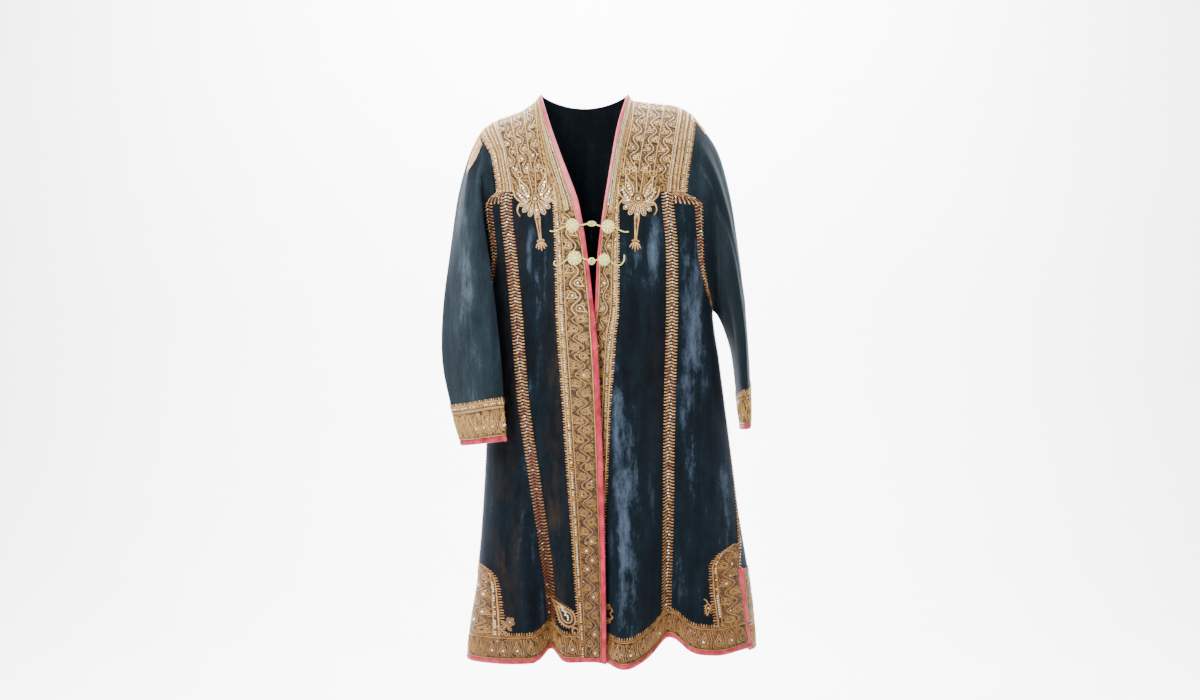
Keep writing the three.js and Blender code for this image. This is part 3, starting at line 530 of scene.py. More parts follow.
def run_along(path):
    """How far along a path each of its points lies."""
    return np.concatenate([[0], np.cumsum(np.linalg.norm(np.diff(path, axis=0), axis=1))])


def make_object(name, verts, faces, materials, face_materials=None, attributes=None):
    """A smooth-shaded mesh, made from millimetres. Each attribute has one value a point."""
    mesh = bpy.data.meshes.new(name)
    mesh.from_pydata((np.asarray(verts) * MM).tolist(), [], faces)
    for material in materials:
        mesh.materials.append(material)
    if face_materials is not None:
        mesh.polygons.foreach_set("material_index", np.asarray(face_materials, np.int32))
    mesh.polygons.foreach_set("use_smooth", np.full(len(mesh.polygons), True))
    for key, values in (attributes or {}).items():
        attribute = mesh.attributes.new(key, "FLOAT", "POINT")
        attribute.data.foreach_set("value", np.asarray(values, np.float32).ravel())
    mesh.update()
    obj = bpy.data.objects.new(name, mesh)
    bpy.context.collection.objects.link(obj)
    return obj


def shell(name, patch, inner, outer, material, closed=False, attributes=None):
    """A closed wall over a patch, from the offset inner to the offset outer."""
    p, n = patch
    attributes = attributes or {}
    if closed:  # the last column is the first again
        p, n = p[:, :-1], n[:, :-1]
        attributes = {key: v[:, :-1] for key, v in attributes.items()}
    height, width = p.shape[:2]
    low, high = (np.broadcast_to(np.asarray(v, float), (height, width))[..., None] for v in (inner, outer))
    verts = np.concatenate([(p + n * high).reshape(-1, 3), (p + n * low).reshape(-1, 3)])
    index = np.arange(height * width).reshape(height, width)
    if closed:
        index = np.concatenate([index, index[:, :1]], 1)
    corners = index[:-1, :-1], index[:-1, 1:], index[1:, 1:], index[1:, :-1]
    above = np.stack(corners, 2).reshape(-1, 4)
    under = height * width
    edges = [index[0], index[-1][::-1]]
    if not closed:
        edges += [index[:, -1], index[:, 0][::-1]]
    rims = [np.stack([e[1:], e[:-1], e[:-1] + under, e[1:] + under], 1) for e in edges]
    faces = np.concatenate([above, above[:, ::-1] + under] + rims)
    if np.cross(p[0, 1] - p[0, 0], p[1, 0] - p[0, 0]) @ n[0, 0] < 0:
        faces = faces[:, ::-1]
    values = {key: np.tile(v.ravel(), 2) for key, v in attributes.items()}
    return make_object(name, verts, faces.tolist(), [material], attributes=values)


# ---- materials ----


class Material:
    """A node material, built by naming its nodes' inputs."""

    def __init__(self, name):
        self.material = bpy.data.materials.new(name)
        self.material.use_nodes = True
        self.tree = self.material.node_tree
        self.tree.nodes.clear()

    def node(self, kind, values=(), **settings):
        made = self.tree.nodes.new(kind)
        for key, value in settings.items():
            setattr(made, key, value)
        for key, value in dict(values).items():
            if isinstance(value, bpy.types.NodeSocket):
                self.tree.links.new(value, made.inputs[key])
            else:
                made.inputs[key].default_value = value
        return made

    def math(self, operation, a, b=0.0, c=0.0):
        return self.node("ShaderNodeMath", {0: a, 1: b, 2: c}, operation=operation).outputs[0]

    def times(self, a, b):
        return self.math("MULTIPLY", a, b)

    def scaled(self, a, gain, plus):
        return self.math("MULTIPLY_ADD", a, gain, plus)

    def swing(self, a, gain, plus):
        """How far a lies from a half, times gain, and plus."""
        return self.scaled(self.math("SUBTRACT", a, 0.5), gain, plus)

    def held(self, a, low, high):
        return self.math("MINIMUM", self.math("MAXIMUM", a, low), high)

    def place(self):
        return self.node("ShaderNodeTexCoord").outputs["Object"]

    def noise(self, vector, scale, detail=4.0, roughness=0.55, stretch=None):
        if stretch:
            vector = self.node("ShaderNodeMapping", {"Vector": vector, "Scale": stretch}).outputs[0]
        settings = {"Vector": vector, "Scale": scale, "Detail": detail, "Roughness": roughness}
        return self.node("ShaderNodeTexNoise", settings).outputs[0]

    def wave(self, vector, scale, distortion, detail, detail_scale=1.0):
        settings = {"Vector": vector, "Scale": scale, "Distortion": distortion, "Detail": detail}
        settings["Detail Scale"] = detail_scale
        return self.node("ShaderNodeTexWave", settings, bands_direction="DIAGONAL").outputs["Fac"]

    def ramp(self, value, stops):
        made = self.node("ShaderNodeValToRGB", {0: value})
        for point, (place, colour) in zip(made.color_ramp.elements, stops):
            point.position = place
            point.color = (*colour, 1)
        for place, colour in stops[2:]:
            made.color_ramp.elements.new(place).color = (*colour, 1)
        return made.outputs[0]

    def mix(self, factor, a, b, blend="MIX"):
        values = {0: factor, 6: a, 7: (*b, 1)}
        return self.node("ShaderNodeMix", values, data_type="RGBA", blend_type=blend).outputs[2]

    def attribute(self, name):
        return self.node("ShaderNodeAttribute", attribute_name=name).outputs["Fac"]

    def finish(self, colour, roughness, height=None, strength=0.3, distance=0.001, **values):
        settings = {"Base Color": colour, "Roughness": roughness}
        settings.update({key.replace("_", " "): value for key, value in values.items()})
        if height is not None:
            bump_node = {"Height": height, "Strength": strength, "Distance": distance}
            settings["Normal"] = self.node("ShaderNodeBump", bump_node).outputs[0]
        shader = self.node("ShaderNodeBsdfPrincipled", settings)
        self.node("ShaderNodeOutputMaterial", {"Surface": shader.outputs[0]})
        return self.material


def painted_shade_below_waist(m, colour):
    """Painted shade: the colour, browner and duller from the waist down, where less light reaches."""
    z = m.node("ShaderNodeSeparateXYZ", {0: m.place()}).outputs["Z"]
    return m.mix(m.held(m.scaled(z, -2.2, -0.9), 0.0, 1.0), colour, (0.62, 0.50, 0.36), "MULTIPLY")


def velvet(name, dark, mid, pale, brown, sheen, tint):
    """Old velvet: streaked nap, paler where it is crushed, with painted sheen highlights (partly faded nap)
    and painted shade from the light attribute, and brown where it has rubbed away.
    """
    m = Material(name)
    at = m.place()
    streaks = m.noise(at, 1.0, 7.0, 0.62, (38, 20, 5.0))
    blotches = m.noise(at, 1.0, 8.0, 0.72, (52, 40, 21))
    patches = m.noise(at, 1.0, 4.0, 0.6, (12, 8, 4.4))
    fine = m.noise(at, 330.0, 4.0, 0.65, (1, 1, 0.45))
    wear = m.noise(at, 1.0, 7.0, 0.68, (46, 30, 13))
    broken = m.held(m.swing(streaks, 0.9, m.swing(blotches, 1.6, 0.58)), 0.08, 1.15)
    level = m.swing(blotches, 0.34, m.scaled(streaks, 0.62, m.times(patches, 0.42)))
    # the light attribute paints sheen highlights along folds, partly faded nap, and painted shade where it
    # is negative; streaks and blotches break it up
    level = m.math("ADD", level, m.times(m.times(m.attribute("light"), broken), 0.62))
    level = m.swing(fine, 0.24, m.math("SUBTRACT", level, 0.04))
    rubbed = m.held(m.times(m.attribute("rub"), m.scaled(wear, 4.2, -1.75)), 0.0, 1.0)
    colour = m.mix(rubbed, m.ramp(level, [(0.42, dark), (0.62, mid), (0.98, pale)]), brown)
    height = m.scaled(streaks, 0.6, m.scaled(blotches, 0.6, m.times(fine, 0.5)))
    shine = {"Sheen_Weight": sheen, "Sheen_Roughness": 0.42, "Sheen_Tint": (*tint, 1)}
    return m.finish(colour, 0.9, height, 0.35, 0.0012, Specular_IOR_Level=0.12, **shine)


def gold_ground(name, low, high, between):
    """The close couched filling between the cords, dark along its own fine scrolls."""
    m = Material(name)
    at = m.place()
    lines = m.wave(at, 240.0, 14.0, 3.0, 1.6)
    scrolls = m.wave(at, 44.0, 11.0, 1.0, 1.7)
    gap = m.math("MAXIMUM", m.scaled(scrolls, -2.7, 1.0), 0.0)
    level = m.scaled(lines, 0.5, m.times(m.noise(at, 26.0, 4.0), 0.55))
    # painted shade darkens the filling from the waist down
    colour = painted_shade_below_waist(m, m.ramp(level, [(0.2, low), (0.75, high)]))
    colour = m.mix(m.math("MINIMUM", m.times(gap, 1.6), 0.92), colour, between)
    height = m.scaled(m.noise(at, 700.0, 3.0), 0.4, lines)
    return m.finish(colour, 0.55, height, 0.6, 0.0006, Metallic=0.35, Specular_IOR_Level=0.4)


def gold_thread(name, dark, bright, metal):
    m = Material(name)
    at = m.place()
    wraps = m.wave(at, 900.0, 3.0, 2.0)
    level = m.scaled(wraps, 0.35, m.noise(at, 60.0, 4.0))
    # painted shade darkens the thread from the waist down
    colour = painted_shade_below_waist(m, m.ramp(level, [(0.3, dark), (0.85, bright)]))
    return m.finish(colour, 0.42, wraps, 0.5, 0.0003, Metallic=metal, Specular_IOR_Level=0.5)


def spangle(name, dark, bright):
    m = Material(name)
    colour = m.ramp(m.noise(m.place(), 160.0, 2.0), [(0.35, dark), (0.6, bright)])
    return m.finish(colour, 0.3, Metallic=0.3, Specular_IOR_Level=0.9)


def satin(name, deep, bright, faded):
    """Puckered satin, faded where the attribute says so."""
    m = Material(name)
    at = m.place()
    slub = m.noise(at, 1.0, 4.0, 0.6, (70, 70, 46))
    weave = m.noise(at, 900.0, 2.0)
    colour = m.ramp(m.scaled(weave, 0.12, slub), [(0.36, deep), (0.72, bright)])
    fade = m.times(m.attribute("light"), m.scaled(slub, 0.9, 0.35))
    colour = m.mix(m.math("MINIMUM", fade, 1.0), colour, faded)
    return m.finish(colour, 0.56, m.scaled(weave, 0.2, slub), 0.6, 0.0014, Specular_IOR_Level=0.3)


def clasp_thread(name, dark, bright):
    """Pale gilt thread, with painted shade in its grooves."""
    m = Material(name)
    tone = m.noise(m.place(), 220.0, 4.0)
    # painted shade: the groove attribute darkens the thread between plies and rays, in the disc's rings and
    # under its rim
    level = m.math("SUBTRACT", m.scaled(tone, 0.5, 0.66), m.times(m.attribute("groove"), 1.1))
    colour = m.ramp(level, [(0.1, dark), (0.75, bright)])
    return m.finish(colour, 0.45, tone, 0.35, 0.0005, Metallic=0.0, Specular_IOR_Level=0.35)


VELVET = velvet(
    "velvet_navy",
    dark=(0.0014, 0.0030, 0.0050),
    mid=(0.0036, 0.0088, 0.0142),
    pale=(0.076, 0.106, 0.155),
    brown=(0.027, 0.0180, 0.0122),
    sheen=0.10,
    tint=(0.35, 0.5, 0.8),
)
SLEEVE_VELVET = velvet(
    "velvet_sleeve",
    dark=(0.0056, 0.0112, 0.0155),
    mid=(0.0142, 0.0250, 0.0340),
    pale=(0.104, 0.126, 0.152),
    brown=(0.026, 0.022, 0.020),
    sheen=0.12,
    tint=(0.45, 0.55, 0.7),
)
GROUND = gold_ground("couched_ground", (0.056, 0.024, 0.005), (0.52, 0.285, 0.080), (0.014, 0.006, 0.002))
THREAD = gold_thread("gold_cord", (0.30, 0.14, 0.038), (0.95, 0.60, 0.21), 0.35)
DARK_THREAD = gold_thread("brown_cord", (0.010, 0.004, 0.0015), (0.048, 0.017, 0.006), 0.0)
COPPER = gold_thread("copper_thread", (0.16, 0.050, 0.024), (0.56, 0.215, 0.105), 0.25)
BRAID_GROUND = gold_ground(
    "braid_ground", (0.008, 0.004, 0.004), (0.050, 0.018, 0.011), (0.008, 0.004, 0.004)
)
PALE_THREAD = gold_thread("pale_thread", (0.62, 0.44, 0.20), (1.0, 0.86, 0.52), 0.35)
SEQUIN = spangle("sequins", (0.72, 0.60, 0.40), (1.0, 0.98, 0.90))
SATIN = satin("satin_rose", (0.24, 0.007, 0.022), (0.62, 0.036, 0.078), (0.84, 0.25, 0.27))
CLASP_GOLD = clasp_thread("clasp_gold", (0.26, 0.13, 0.02), (1.0, 0.92, 0.33))


# ---- stitching, laid on a strip of the garment ----

GOLD, SPARK, BROWN, RED, PALE = 0, 1, 2, 3, 4
THREADS = [THREAD, SEQUIN, DARK_THREAD, COPPER, PALE_THREAD]
# how far apart the teeth and the braids' stitches are, and how finely a strip is read across
TOOTH_PITCH, BRAID_PITCH = 5.0, 6.0
STRIP_STEPS = 25


def sorted_pair(a, b):
    order = np.argsort(a)
    return a[order], b[order]


class Strip:
    """A band of the garment: millimetres along it, and across it as if it were broad wide throughout."""

    def __init__(self, patch, broad, turned=False, flip=False):
        p, n = patch
        if turned:
            p, n = p.transpose(1, 0, 2), n.transpose(1, 0, 2)
        if flip:
            p, n = p[:, ::-1], n[:, ::-1]
        share = np.linspace(0, 1, STRIP_STEPS)
        self.p, self.n = np.empty((len(p), STRIP_STEPS, 3)), np.empty((len(p), STRIP_STEPS, 3))
        for i, line in enumerate(p):
            run = run_along(line)
            for k in range(3):
                self.p[i, :, k] = np.interp(share * run[-1], run, line[:, k])
                self.n[i, :, k] = np.interp(share * run[-1], run, n[i, :, k])
        self.middle = self.p[:, STRIP_STEPS // 2]
        self.run = run_along(self.middle)
        self.length, self.broad = self.run[-1], broad

    def along_at(self, z):
        """How far along the strip's middle line passes this height."""
        return float(np.interp(z, *sorted_pair(self.middle[:, 2], self.run)))

    def place(self, along, across, out):
        row = np.interp(along, self.run, np.arange(len(self.run)))
        column = across / self.broad * (self.p.shape[1] - 1)
        r = np.clip(np.floor(row).astype(int), 0, self.p.shape[0] - 2)
        c = np.clip(np.floor(column).astype(int), 0, self.p.shape[1] - 2)
        u, v = (row - r)[:, None], (column - c)[:, None]

        def mixed(a):
            near = a[r, c] * (1 - u) + a[r + 1, c] * u
            return near * (1 - v) + (a[r, c + 1] * (1 - u) + a[r + 1, c + 1] * u) * v

        return mixed(self.p) + mixed(self.n) * out[:, None]


class Stitching:
    """Cords, sequins and stitches in one mesh. Those that run on do so from start to end."""

    def __init__(self):
        self.flat, self.out, self.faces, self.kinds, self.verts = [], [], [], [], []
        self.count = 0

    def begin(self, patch, broad, turned=False, flip=False):
        """Starts on a new strip, and says how long it is."""
        self.strip = Strip(patch, broad, turned, flip)
        self.over()
        return self.strip.length

    def over(self, start=0, end=None):
        """Sets the stretch of the strip that the next stitches run over."""
        self.start, self.end = start, self.strip.length if end is None else end
        return self

    def settle(self, place=None):
        """Turns what was added since the last call into points on the garment."""
        flat, out = np.concatenate(self.flat), np.concatenate(self.out)
        self.verts.append((place or self.strip.place)(flat[:, 0], flat[:, 1], out))
        self.flat, self.out = [], []

    def make(self, name):
        verts, faces = np.concatenate(self.verts), np.concatenate(self.faces)
        obj = make_object(name, verts, faces.tolist(), THREADS, np.concatenate(self.kinds))
        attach(obj, "root")

    def add(self, flat, out, faces, kind):
        self.flat.append(flat)
        self.out.append(out)
        self.faces.append(faces + self.count)
        self.kinds.append(np.full(len(faces), kind))
        self.count += len(flat)

    def cord(self, path, half=0.8, rise=0.9, base=1.0, kind=GOLD, closed=False):
        """A raised cord along a path in the strip's plane."""
        path = np.asarray(path, float)
        if closed:
            path = np.concatenate([path, path[:1]])
        direction = np.gradient(path, axis=0)
        if closed:
            direction[0] = direction[-1] = path[1] - path[-2]
        direction /= np.maximum(np.linalg.norm(direction, axis=1, keepdims=True), 1e-9)
        side = np.stack([-direction[:, 1], direction[:, 0]], 1)
        n = len(path)
        half = np.broadcast_to(np.asarray(half, float), n)[:, None]
        flat = np.concatenate([path + side * half, path, path - side * half])
        out = np.concatenate([np.full(n, base), np.full(n, base + rise), np.full(n, base)])
        i = np.arange(n - 1)
        left = np.stack([i, i + 1, i + 1 + n, i + n], 1)
        self.add(flat, out, np.concatenate([left, left + n]), kind)

    def disc(self, along, across, radius, base=1.5, lean=0.0, kind=SPARK):
        """A sequin, a little tipped so that it catches the light."""
        turn = np.arange(6) * math.pi / 3
        rim = np.stack([along + radius * np.cos(turn), across + radius * np.sin(turn)], 1)
        flat = np.concatenate([[[along, across]], rim])
        out = np.concatenate([[base + 0.6], base + 0.35 + lean * radius * np.cos(turn + along)])
        self.add(flat, out, np.array([[0, 1, 2, 3], [0, 3, 4, 5], [0, 5, 6, 1]]), kind)

    def outlined(self, path, half=0.75, closed=False):
        """A gold cord with a brown one close on each side of it."""
        half = np.asarray(half, float) * 1.25
        self.cord(path, half + 1.4, 0.35, 1.0, BROWN, closed)
        self.cord(path, half, 1.0, 1.2, GOLD, closed)

    def incised(self, path, half=0.75, closed=False):
        """A fine gold line in a brown groove of the gold filling."""
        half = np.asarray(half, float) * 0.5
        self.cord(path, half + 1.0, 0.3, 1.0, BROWN, closed)
        self.cord(path, half + 0.15, 0.7, 1.15, GOLD, closed)

    def leaf(self, tip, end, width, bend, half, scale=1.0):
        self.outlined(teardrop(tip, end, width, bend, scale), half, True)

    def lines(self, places, half=0.6, rise=0.5, kind=BROWN):
        along = np.arange(self.start, self.end + 1, 4.0)
        for across in places:
            self.cord(np.stack([along, np.full(len(along), float(across))], 1), half, rise, 1.0, kind)

    def paired(self, gold, brown, half=0.8):
        """Gold lines, and then brown ones beside them."""
        self.lines(gold, half, 1.0, GOLD)
        self.lines(brown)

    def beads(self, across, spacing, radius, seed, chance=1.0):
        rng = np.random.default_rng(seed)
        for along in np.arange(self.start + spacing / 2, self.end, spacing):
            if rng.random() < chance:
                self.disc(along, across + rng.uniform(-0.3, 0.3), radius, 1.5, rng.uniform(-0.35, 0.35))

    def slants(self, low, high, spacing, lean, kind=GOLD):
        """Short stitches laid side by side across a narrow strip."""
        for along in np.arange(self.start, self.end - abs(lean), spacing):
            self.cord([(along, low), (along + lean, high)], 0.7, 0.9, 1.0, kind)

    def teeth(self, across, out, kinds=(GOLD,)):
        """Blanket stitches that stand out square from an edge."""
        for k, along in enumerate(np.arange(self.start + TOOTH_PITCH / 2, self.end, TOOTH_PITCH)):
            far = out * (0.85 + 0.06 * ((k * 7) % 5))
            path = [(along, across), (along + 0.3, across + far * 0.6), (along, across + far)]
            self.cord(path, [1.1, 1.1, 0.66], 0.8, 0.4, kinds[k % len(kinds)])

    def edging(self, low, high, seed):
        """The strip along an embroidery's outer edge: lines, beads, slanted stitches and teeth."""
        self.lines((low,), 0.75, 1.0, GOLD)
        self.lines((low + 1.7,), 0.7)
        self.slants(low + 3.0, high - 1.6, 4.6, 1.8)
        self.beads(low + (high - low) * 0.55, 4.6, 1.5, seed, 0.75)
        self.lines((high - 0.8,), 0.75, 1.0, GOLD)
        self.teeth(high, 4.6, (GOLD, PALE, RED))


def arc(cx, cy, radius, start, end, shrink=0.0):
    """Part of a circle or, with shrink, of a spiral whose radius falls by that share."""
    count = max(5, int(abs(end - start) * radius * (1 - shrink / 2) / 1.5))
    t = np.linspace(0, 1, count)
    turn = start + (end - start) * t
    r = radius * (1 - t * shrink)
    return np.stack([cx + r * np.cos(turn), cy + r * np.sin(turn)], 1)


def teardrop(tip, end, width, bend=0.0, scale=1.0):
    """A leaf or boteh from its tip to its round end, bent to one side at the tip."""
    tip, end = np.array(tip, float), np.array(end, float)
    axis = end - tip
    length = np.linalg.norm(axis)
    axis /= length
    side = np.array([-axis[1], axis[0]])
    u = np.linspace(0.0, 1.0, max(7, int(length * scale / 1.9)))
    blunt = np.sqrt(np.clip(1 - ((u - 0.64) / 0.36) ** 2, 0, 1))
    half = width / 2 * np.where(u > 0.64, blunt, (u / 0.64) ** 1.25)
    middle = bend * length * (1 - u) ** 2
    plus, minus = np.stack([u * length, middle + half], 1), np.stack([u * length, middle - half], 1)
    path = np.concatenate([plus, minus[::-1][1:-1]])
    centre = np.array([0.66 * length, 0])
    path = centre + (path - centre) * scale
    return tip + path[:, :1] * axis + path[:, 1:] * side


def ring_of(points, spacing):
    """Points spaced evenly round a closed path."""
    path = np.concatenate([points, points[:1]])
    run = run_along(path)
    at = np.arange(0, run[-1] - spacing / 2, spacing)
    return np.stack([np.interp(at, run, path[:, 0]), np.interp(at, run, path[:, 1])], 1)


def rounded(points, per=8):
    """A smooth path through the points."""
    p = np.array(points, float)
    padded = np.concatenate([[2 * p[0] - p[1]], p, [2 * p[-1] - p[-2]]])
    path = [spline(*padded[i : i + 4], t) for i in range(len(p) - 1) for t in np.arange(per) / per]
    return np.array(path + [p[-1]])


def scroll_band(work, low, high, repeat, seed, spark=0.8, fine=False):
    """A waving vine whose bays hold botehs and spirals, with lines that echo its humps."""
    rng = np.random.default_rng(seed)
    draw = work.incised if fine else work.outlined
    start, end = work.start, work.end
    wide, middle = high - low, (low + high) / 2
    bays = max(2, round(2 * (end - start) / repeat))
    bay = (end - start) / bays
    bold = min(0.95, wide * 0.03)
    along = np.linspace(start, end, int((end - start) / 1.8))
    draw(np.stack([along, middle + wide * 0.25 * np.sin((along - start) * math.pi / bay)], 1), bold)
    for k in range(bays):
        centre = start + (k + 0.5) * bay
        side = -1 if k % 2 == 0 else 1
        rim = middle + side * wide * 0.5
        jig = rng.uniform(-0.05, 0.05, 3) * bay
        tip = np.array([centre - bay * 0.34 + jig[0], rim - side * wide * 0.05])
        foot = np.array([centre + bay * 0.18 + jig[1], middle + side * wide * 0.02])
        for scale in (1.0, 0.55) if fine else (1.0,):
            draw(teardrop(tip, foot, wide * 0.38, side * 0.16, scale), bold, True)
        if rng.random() < spark:
            work.disc(*(tip + (foot - tip) * 0.66), min(2.3, wide * 0.075), 1.9, rng.uniform(-0.3, 0.3))
        curl = (centre + bay * 0.33 + jig[2], rim - side * wide * 0.16, wide * 0.13)
        draw(arc(*curl, -side * 1.2, side * 6.6, 0.7), bold * 0.7)
        for echo in (0.11, 0.19):
            t = np.linspace(-0.5, 0.5, 11)
            across = middle - side * wide * (0.25 * np.cos(t * math.pi) + echo)
            work.cord(np.stack([centre + bay * t, across], 1), 0.75, 0.4, 1.0, BROWN)
        if rng.random() < spark:
            work.disc(start + (k + rng.random()) * bay, low + wide * rng.uniform(0.06, 0.94), 1.3, 1.4, 0.2)


def boteh_row(work, low, high, repeat, seed):
    """Botehs that stand in a row on the hem, with waves that echo them."""
    rng = np.random.default_rng(seed)
    wide = high - low
    count = max(1, round((work.end - work.start) / repeat))
    pitch = (work.end - work.start) / count
    for k in range(count):
        centre = work.start + (k + 0.5) * pitch + rng.uniform(-1, 1)
        lean = rng.uniform(0.1, 0.2)
        tip = (centre + pitch * 0.20, low + wide * 0.84)
        foot = (centre - pitch * 0.05, low + wide * 0.13)
        for scale in (1.0, 0.52):
            work.incised(teardrop(tip, foot, pitch * 0.48, -lean, scale), 1.1, True)
        t = np.linspace(0.04, 0.94, 12)
        for side in (-1, 1):
            for step in (0.33, 0.48):
                swing = pitch * (step * side + 0.05 * np.sin(t * 9 + k))
                work.incised(np.stack([centre + swing, low + wide * t], 1), 0.7)
        work.incised(arc(centre - pitch * 0.25, low + wide * 0.86, pitch * 0.10, 1.0, 7.5, 0.7), 0.6)
        if rng.random() < 0.35:
            work.disc(centre - pitch * 0.03, low + wide * 0.34, 2.4, 2.2, rng.uniform(-0.3, 0.3))
        for _ in range(3):
            place = centre + rng.uniform(-0.5, 0.5) * pitch, low + wide * rng.uniform(0.05, 0.95)
            size, tip_over = rng.uniform(0.7, 1.0), rng.uniform(-0.4, 0.4)
            work.disc(*place, size, 1.3, tip_over, SPARK if rng.random() < 0.4 else PALE)


def herringbone(work, wide, seed, red, swell=0.0, worn=0.0):
    """Slanted stitches that meet down the middle, with teeth on both sides, and sequins."""
    rng = np.random.default_rng(seed)
    for along in np.arange(work.start, work.end, BRAID_PITCH):
        grown = 1 + swell * smooth((along - work.end + 150) / 150)
        for side in (-1, 1):
            half = wide / 2 * (grown if side < 0 else 1)
            kind = RED if rng.random() < red + 0.4 * (along < worn) else GOLD
            inner, outer = wide / 2 + side * 0.7, wide / 2 + side * (half - 1.2)
            work.cord([(along + 2.4, inner), (along - 1.2, outer)], [0.9, 1.2], 1.2, 1.0, kind)
            bend, tip = (along - 0.8, outer + side * 2.4), (along - 1.0, outer + side * 4.6)
            kind = GOLD if rng.random() > red * 0.6 else RED
            work.cord([(along - 1.2, outer), bend, tip], [1.2, 1.1, 0.8], 1.0, 0.7, kind)
        if rng.random() < (1.15 - red * 0.8) * (0.25 if along < worn else 1):
            shift = rng.uniform(-0.16, 0.16) * wide
            work.disc(along + 1.2, wide / 2 + shift, rng.uniform(1.2, 1.9), 2.1, rng.uniform(-0.4, 0.4))


# ---- pieces ----

# Each layer's material and slot.
SEWN_GOLD, SEWN_BRAID, SEWN_SATIN = (GROUND, "embroidery"), (BRAID_GROUND, "braid"), (SATIN, "satin")
BODY_VELVET, ARM_VELVET = (VELVET, "velvet"), (SLEEVE_VELVET, "velvet")
# How far the inner and the outer face of a layer lie out from the outer face of the velvet.
VELVET_WALL, SEWN_WALL, FRONT_WALL, MOTIF_WALL = (-2.0, 0.0), (0.1, 1.1), (0.1, 0.9), (0.1, 1.0)


def add_sheet(node, patch, inner, outer, layer, closed=False, attributes=None):
    """A piece of cloth, which stands for the CAD node of its name."""
    material, slot_name = layer
    obj = shell("cloth_" + node, patch, inner, outer, material, closed, attributes)
    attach(obj, "root")
    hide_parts(node)


def narrowed(patch, cut):
    """A patch whose last column draws back: cut gives heights and the share of its width that is kept."""
    p, n = patch
    share = np.interp(p[:, -1, 2], *cut)
    at = share[:, None] * np.arange(p.shape[1])[None]
    low = np.minimum(at.astype(int), p.shape[1] - 2)
    t = (at - low)[..., None]
    row = np.arange(len(p))[:, None]
    return p[row, low] * (1 - t) + p[row, low + 1] * t, n[row, low] * (1 - t) + n[row, low + 1] * t


YOKE_CUT = {
    "right": ([-180, -110, -78, -62], [0.82, 0.80, 0.89, 1.0]),
    "left": ([-180, -130, -80, -50], [0.95, 0.96, 0.99, 1.0]),
}


def lay(grid, node, rows, cols, inner, outer, layer, nap=None, cut=None):
    """A piece over some rows and columns of a grid."""
    patch = grid.part(rows, cols)
    if cut:
        patch = narrowed(patch, cut)
    whole_ring = grid.closed and (cols[1] - cols[0]) * grid.per_col >= grid.p.shape[1]
    add_sheet(node, patch, inner, outer, layer, whole_ring, nap(patch[0]) if nap else None)


def lay_velvet(grid, node, rows, cols, layer, nap):
    lay(grid, node, rows, cols, *VELVET_WALL, layer, nap)


def lay_rolled(grid, node, rows, cols, share, nap=None):
    """A binding rolled over an edge: share runs across it from 0 to 1, and it is thickest halfway."""
    swell = np.sin(np.clip(share * math.pi, 0, math.pi)) ** 0.5
    lay(grid, node, rows, cols, -1.2 - 1.3 * swell, 0.2 + 1.6 * swell, SEWN_SATIN, nap)


def shares(steps):
    return np.linspace(0, 1, steps + 1)


def glow(x, z, spots):
    """Soft spots, each with its place, half sizes and strength."""
    total = x * 0.0
    for x0, z0, wide, high, strength in spots:
        total = total + strength * np.exp(-(((x - x0) / wide) ** 2) - ((z - z0) / high) ** 2)
    return total


# Light: painted sheen highlights along folds with partly faded nap, and painted shade where the strength is
# negative. Rub: where the nap is rubbed away. Each: place, half sizes and strength.
RIGHT_LIGHT = [
    (-120, -330, 7, 90, 0.55), (-104, -420, 8, 150, 0.5), (-118, -560, 9, 140, 0.42),
    (-88, -300, 6, 110, 0.35), (-128, -760, 12, 160, 0.25), (-185, -760, 12, 160, 0.2),
    (-204, -140, 14, 60, 0.6),
]
RIGHT_RUB = [
    (-62, -380, 16, 160, 0.7), (-150, -330, 20, 120, 0.8), (-160, -560, 18, 160, 0.6),
    (-76, -640, 16, 200, 0.6), (-70, -860, 18, 160, 0.9), (-165, -860, 26, 130, 0.9),
    (-195, -500, 12, 300, 0.5),
]
LEFT_LIGHT = [
    (66, -300, 26, 80, 0.42), (112, -280, 14, 80, 0.62), (182, -420, 30, 210, 0.66),
    (196, -400, 10, 120, 0.3), (150, -640, 26, 160, 0.14), (60, -800, 22, 230, 0.72),
    (44, -560, 12, 160, 0.45), (188, -690, 9, 70, 0.6), (164, -880, 10, 60, 0.5),
    (100, -780, 22, 200, 0.1), (250, -740, 12, 120, 0.3), (200, -120, 12, 60, 0.5),
    (136, -500, 22, 150, -0.3),
]
LEFT_RUB = [(118, -560, 14, 120, 0.3), (212, -300, 10, 90, 0.3)]
BACK_LIGHT = [
    (-60, -500, 20, 260, 0.5), (60, -700, 18, 240, 0.5), (130, -420, 16, 200, 0.4),
    (0, -250, 40, 120, 0.3),
]
RIGHT_SLEEVE_LIGHT = [(-240, -320, 24, 110, 0.5), (-236, -520, 24, 90, 0.25), (-258, -220, 20, 90, 0.2)]
LEFT_SLEEVE_LIGHT = [(262, -330, 60, 300, -0.26), (246, -260, 12, 130, 0.2)]


def worn(light, rub=()):
    """Attributes of points: light makes cloth paler, on the velvet painted sheen highlights with partly
    faded nap and painted shade where negative, and rub takes its nap away.
    """

    def at(points):
        x, z = points[..., 0], points[..., 2]
        return {"light": glow(x, z, light), "rub": glow(x, z, rub)}

    return at


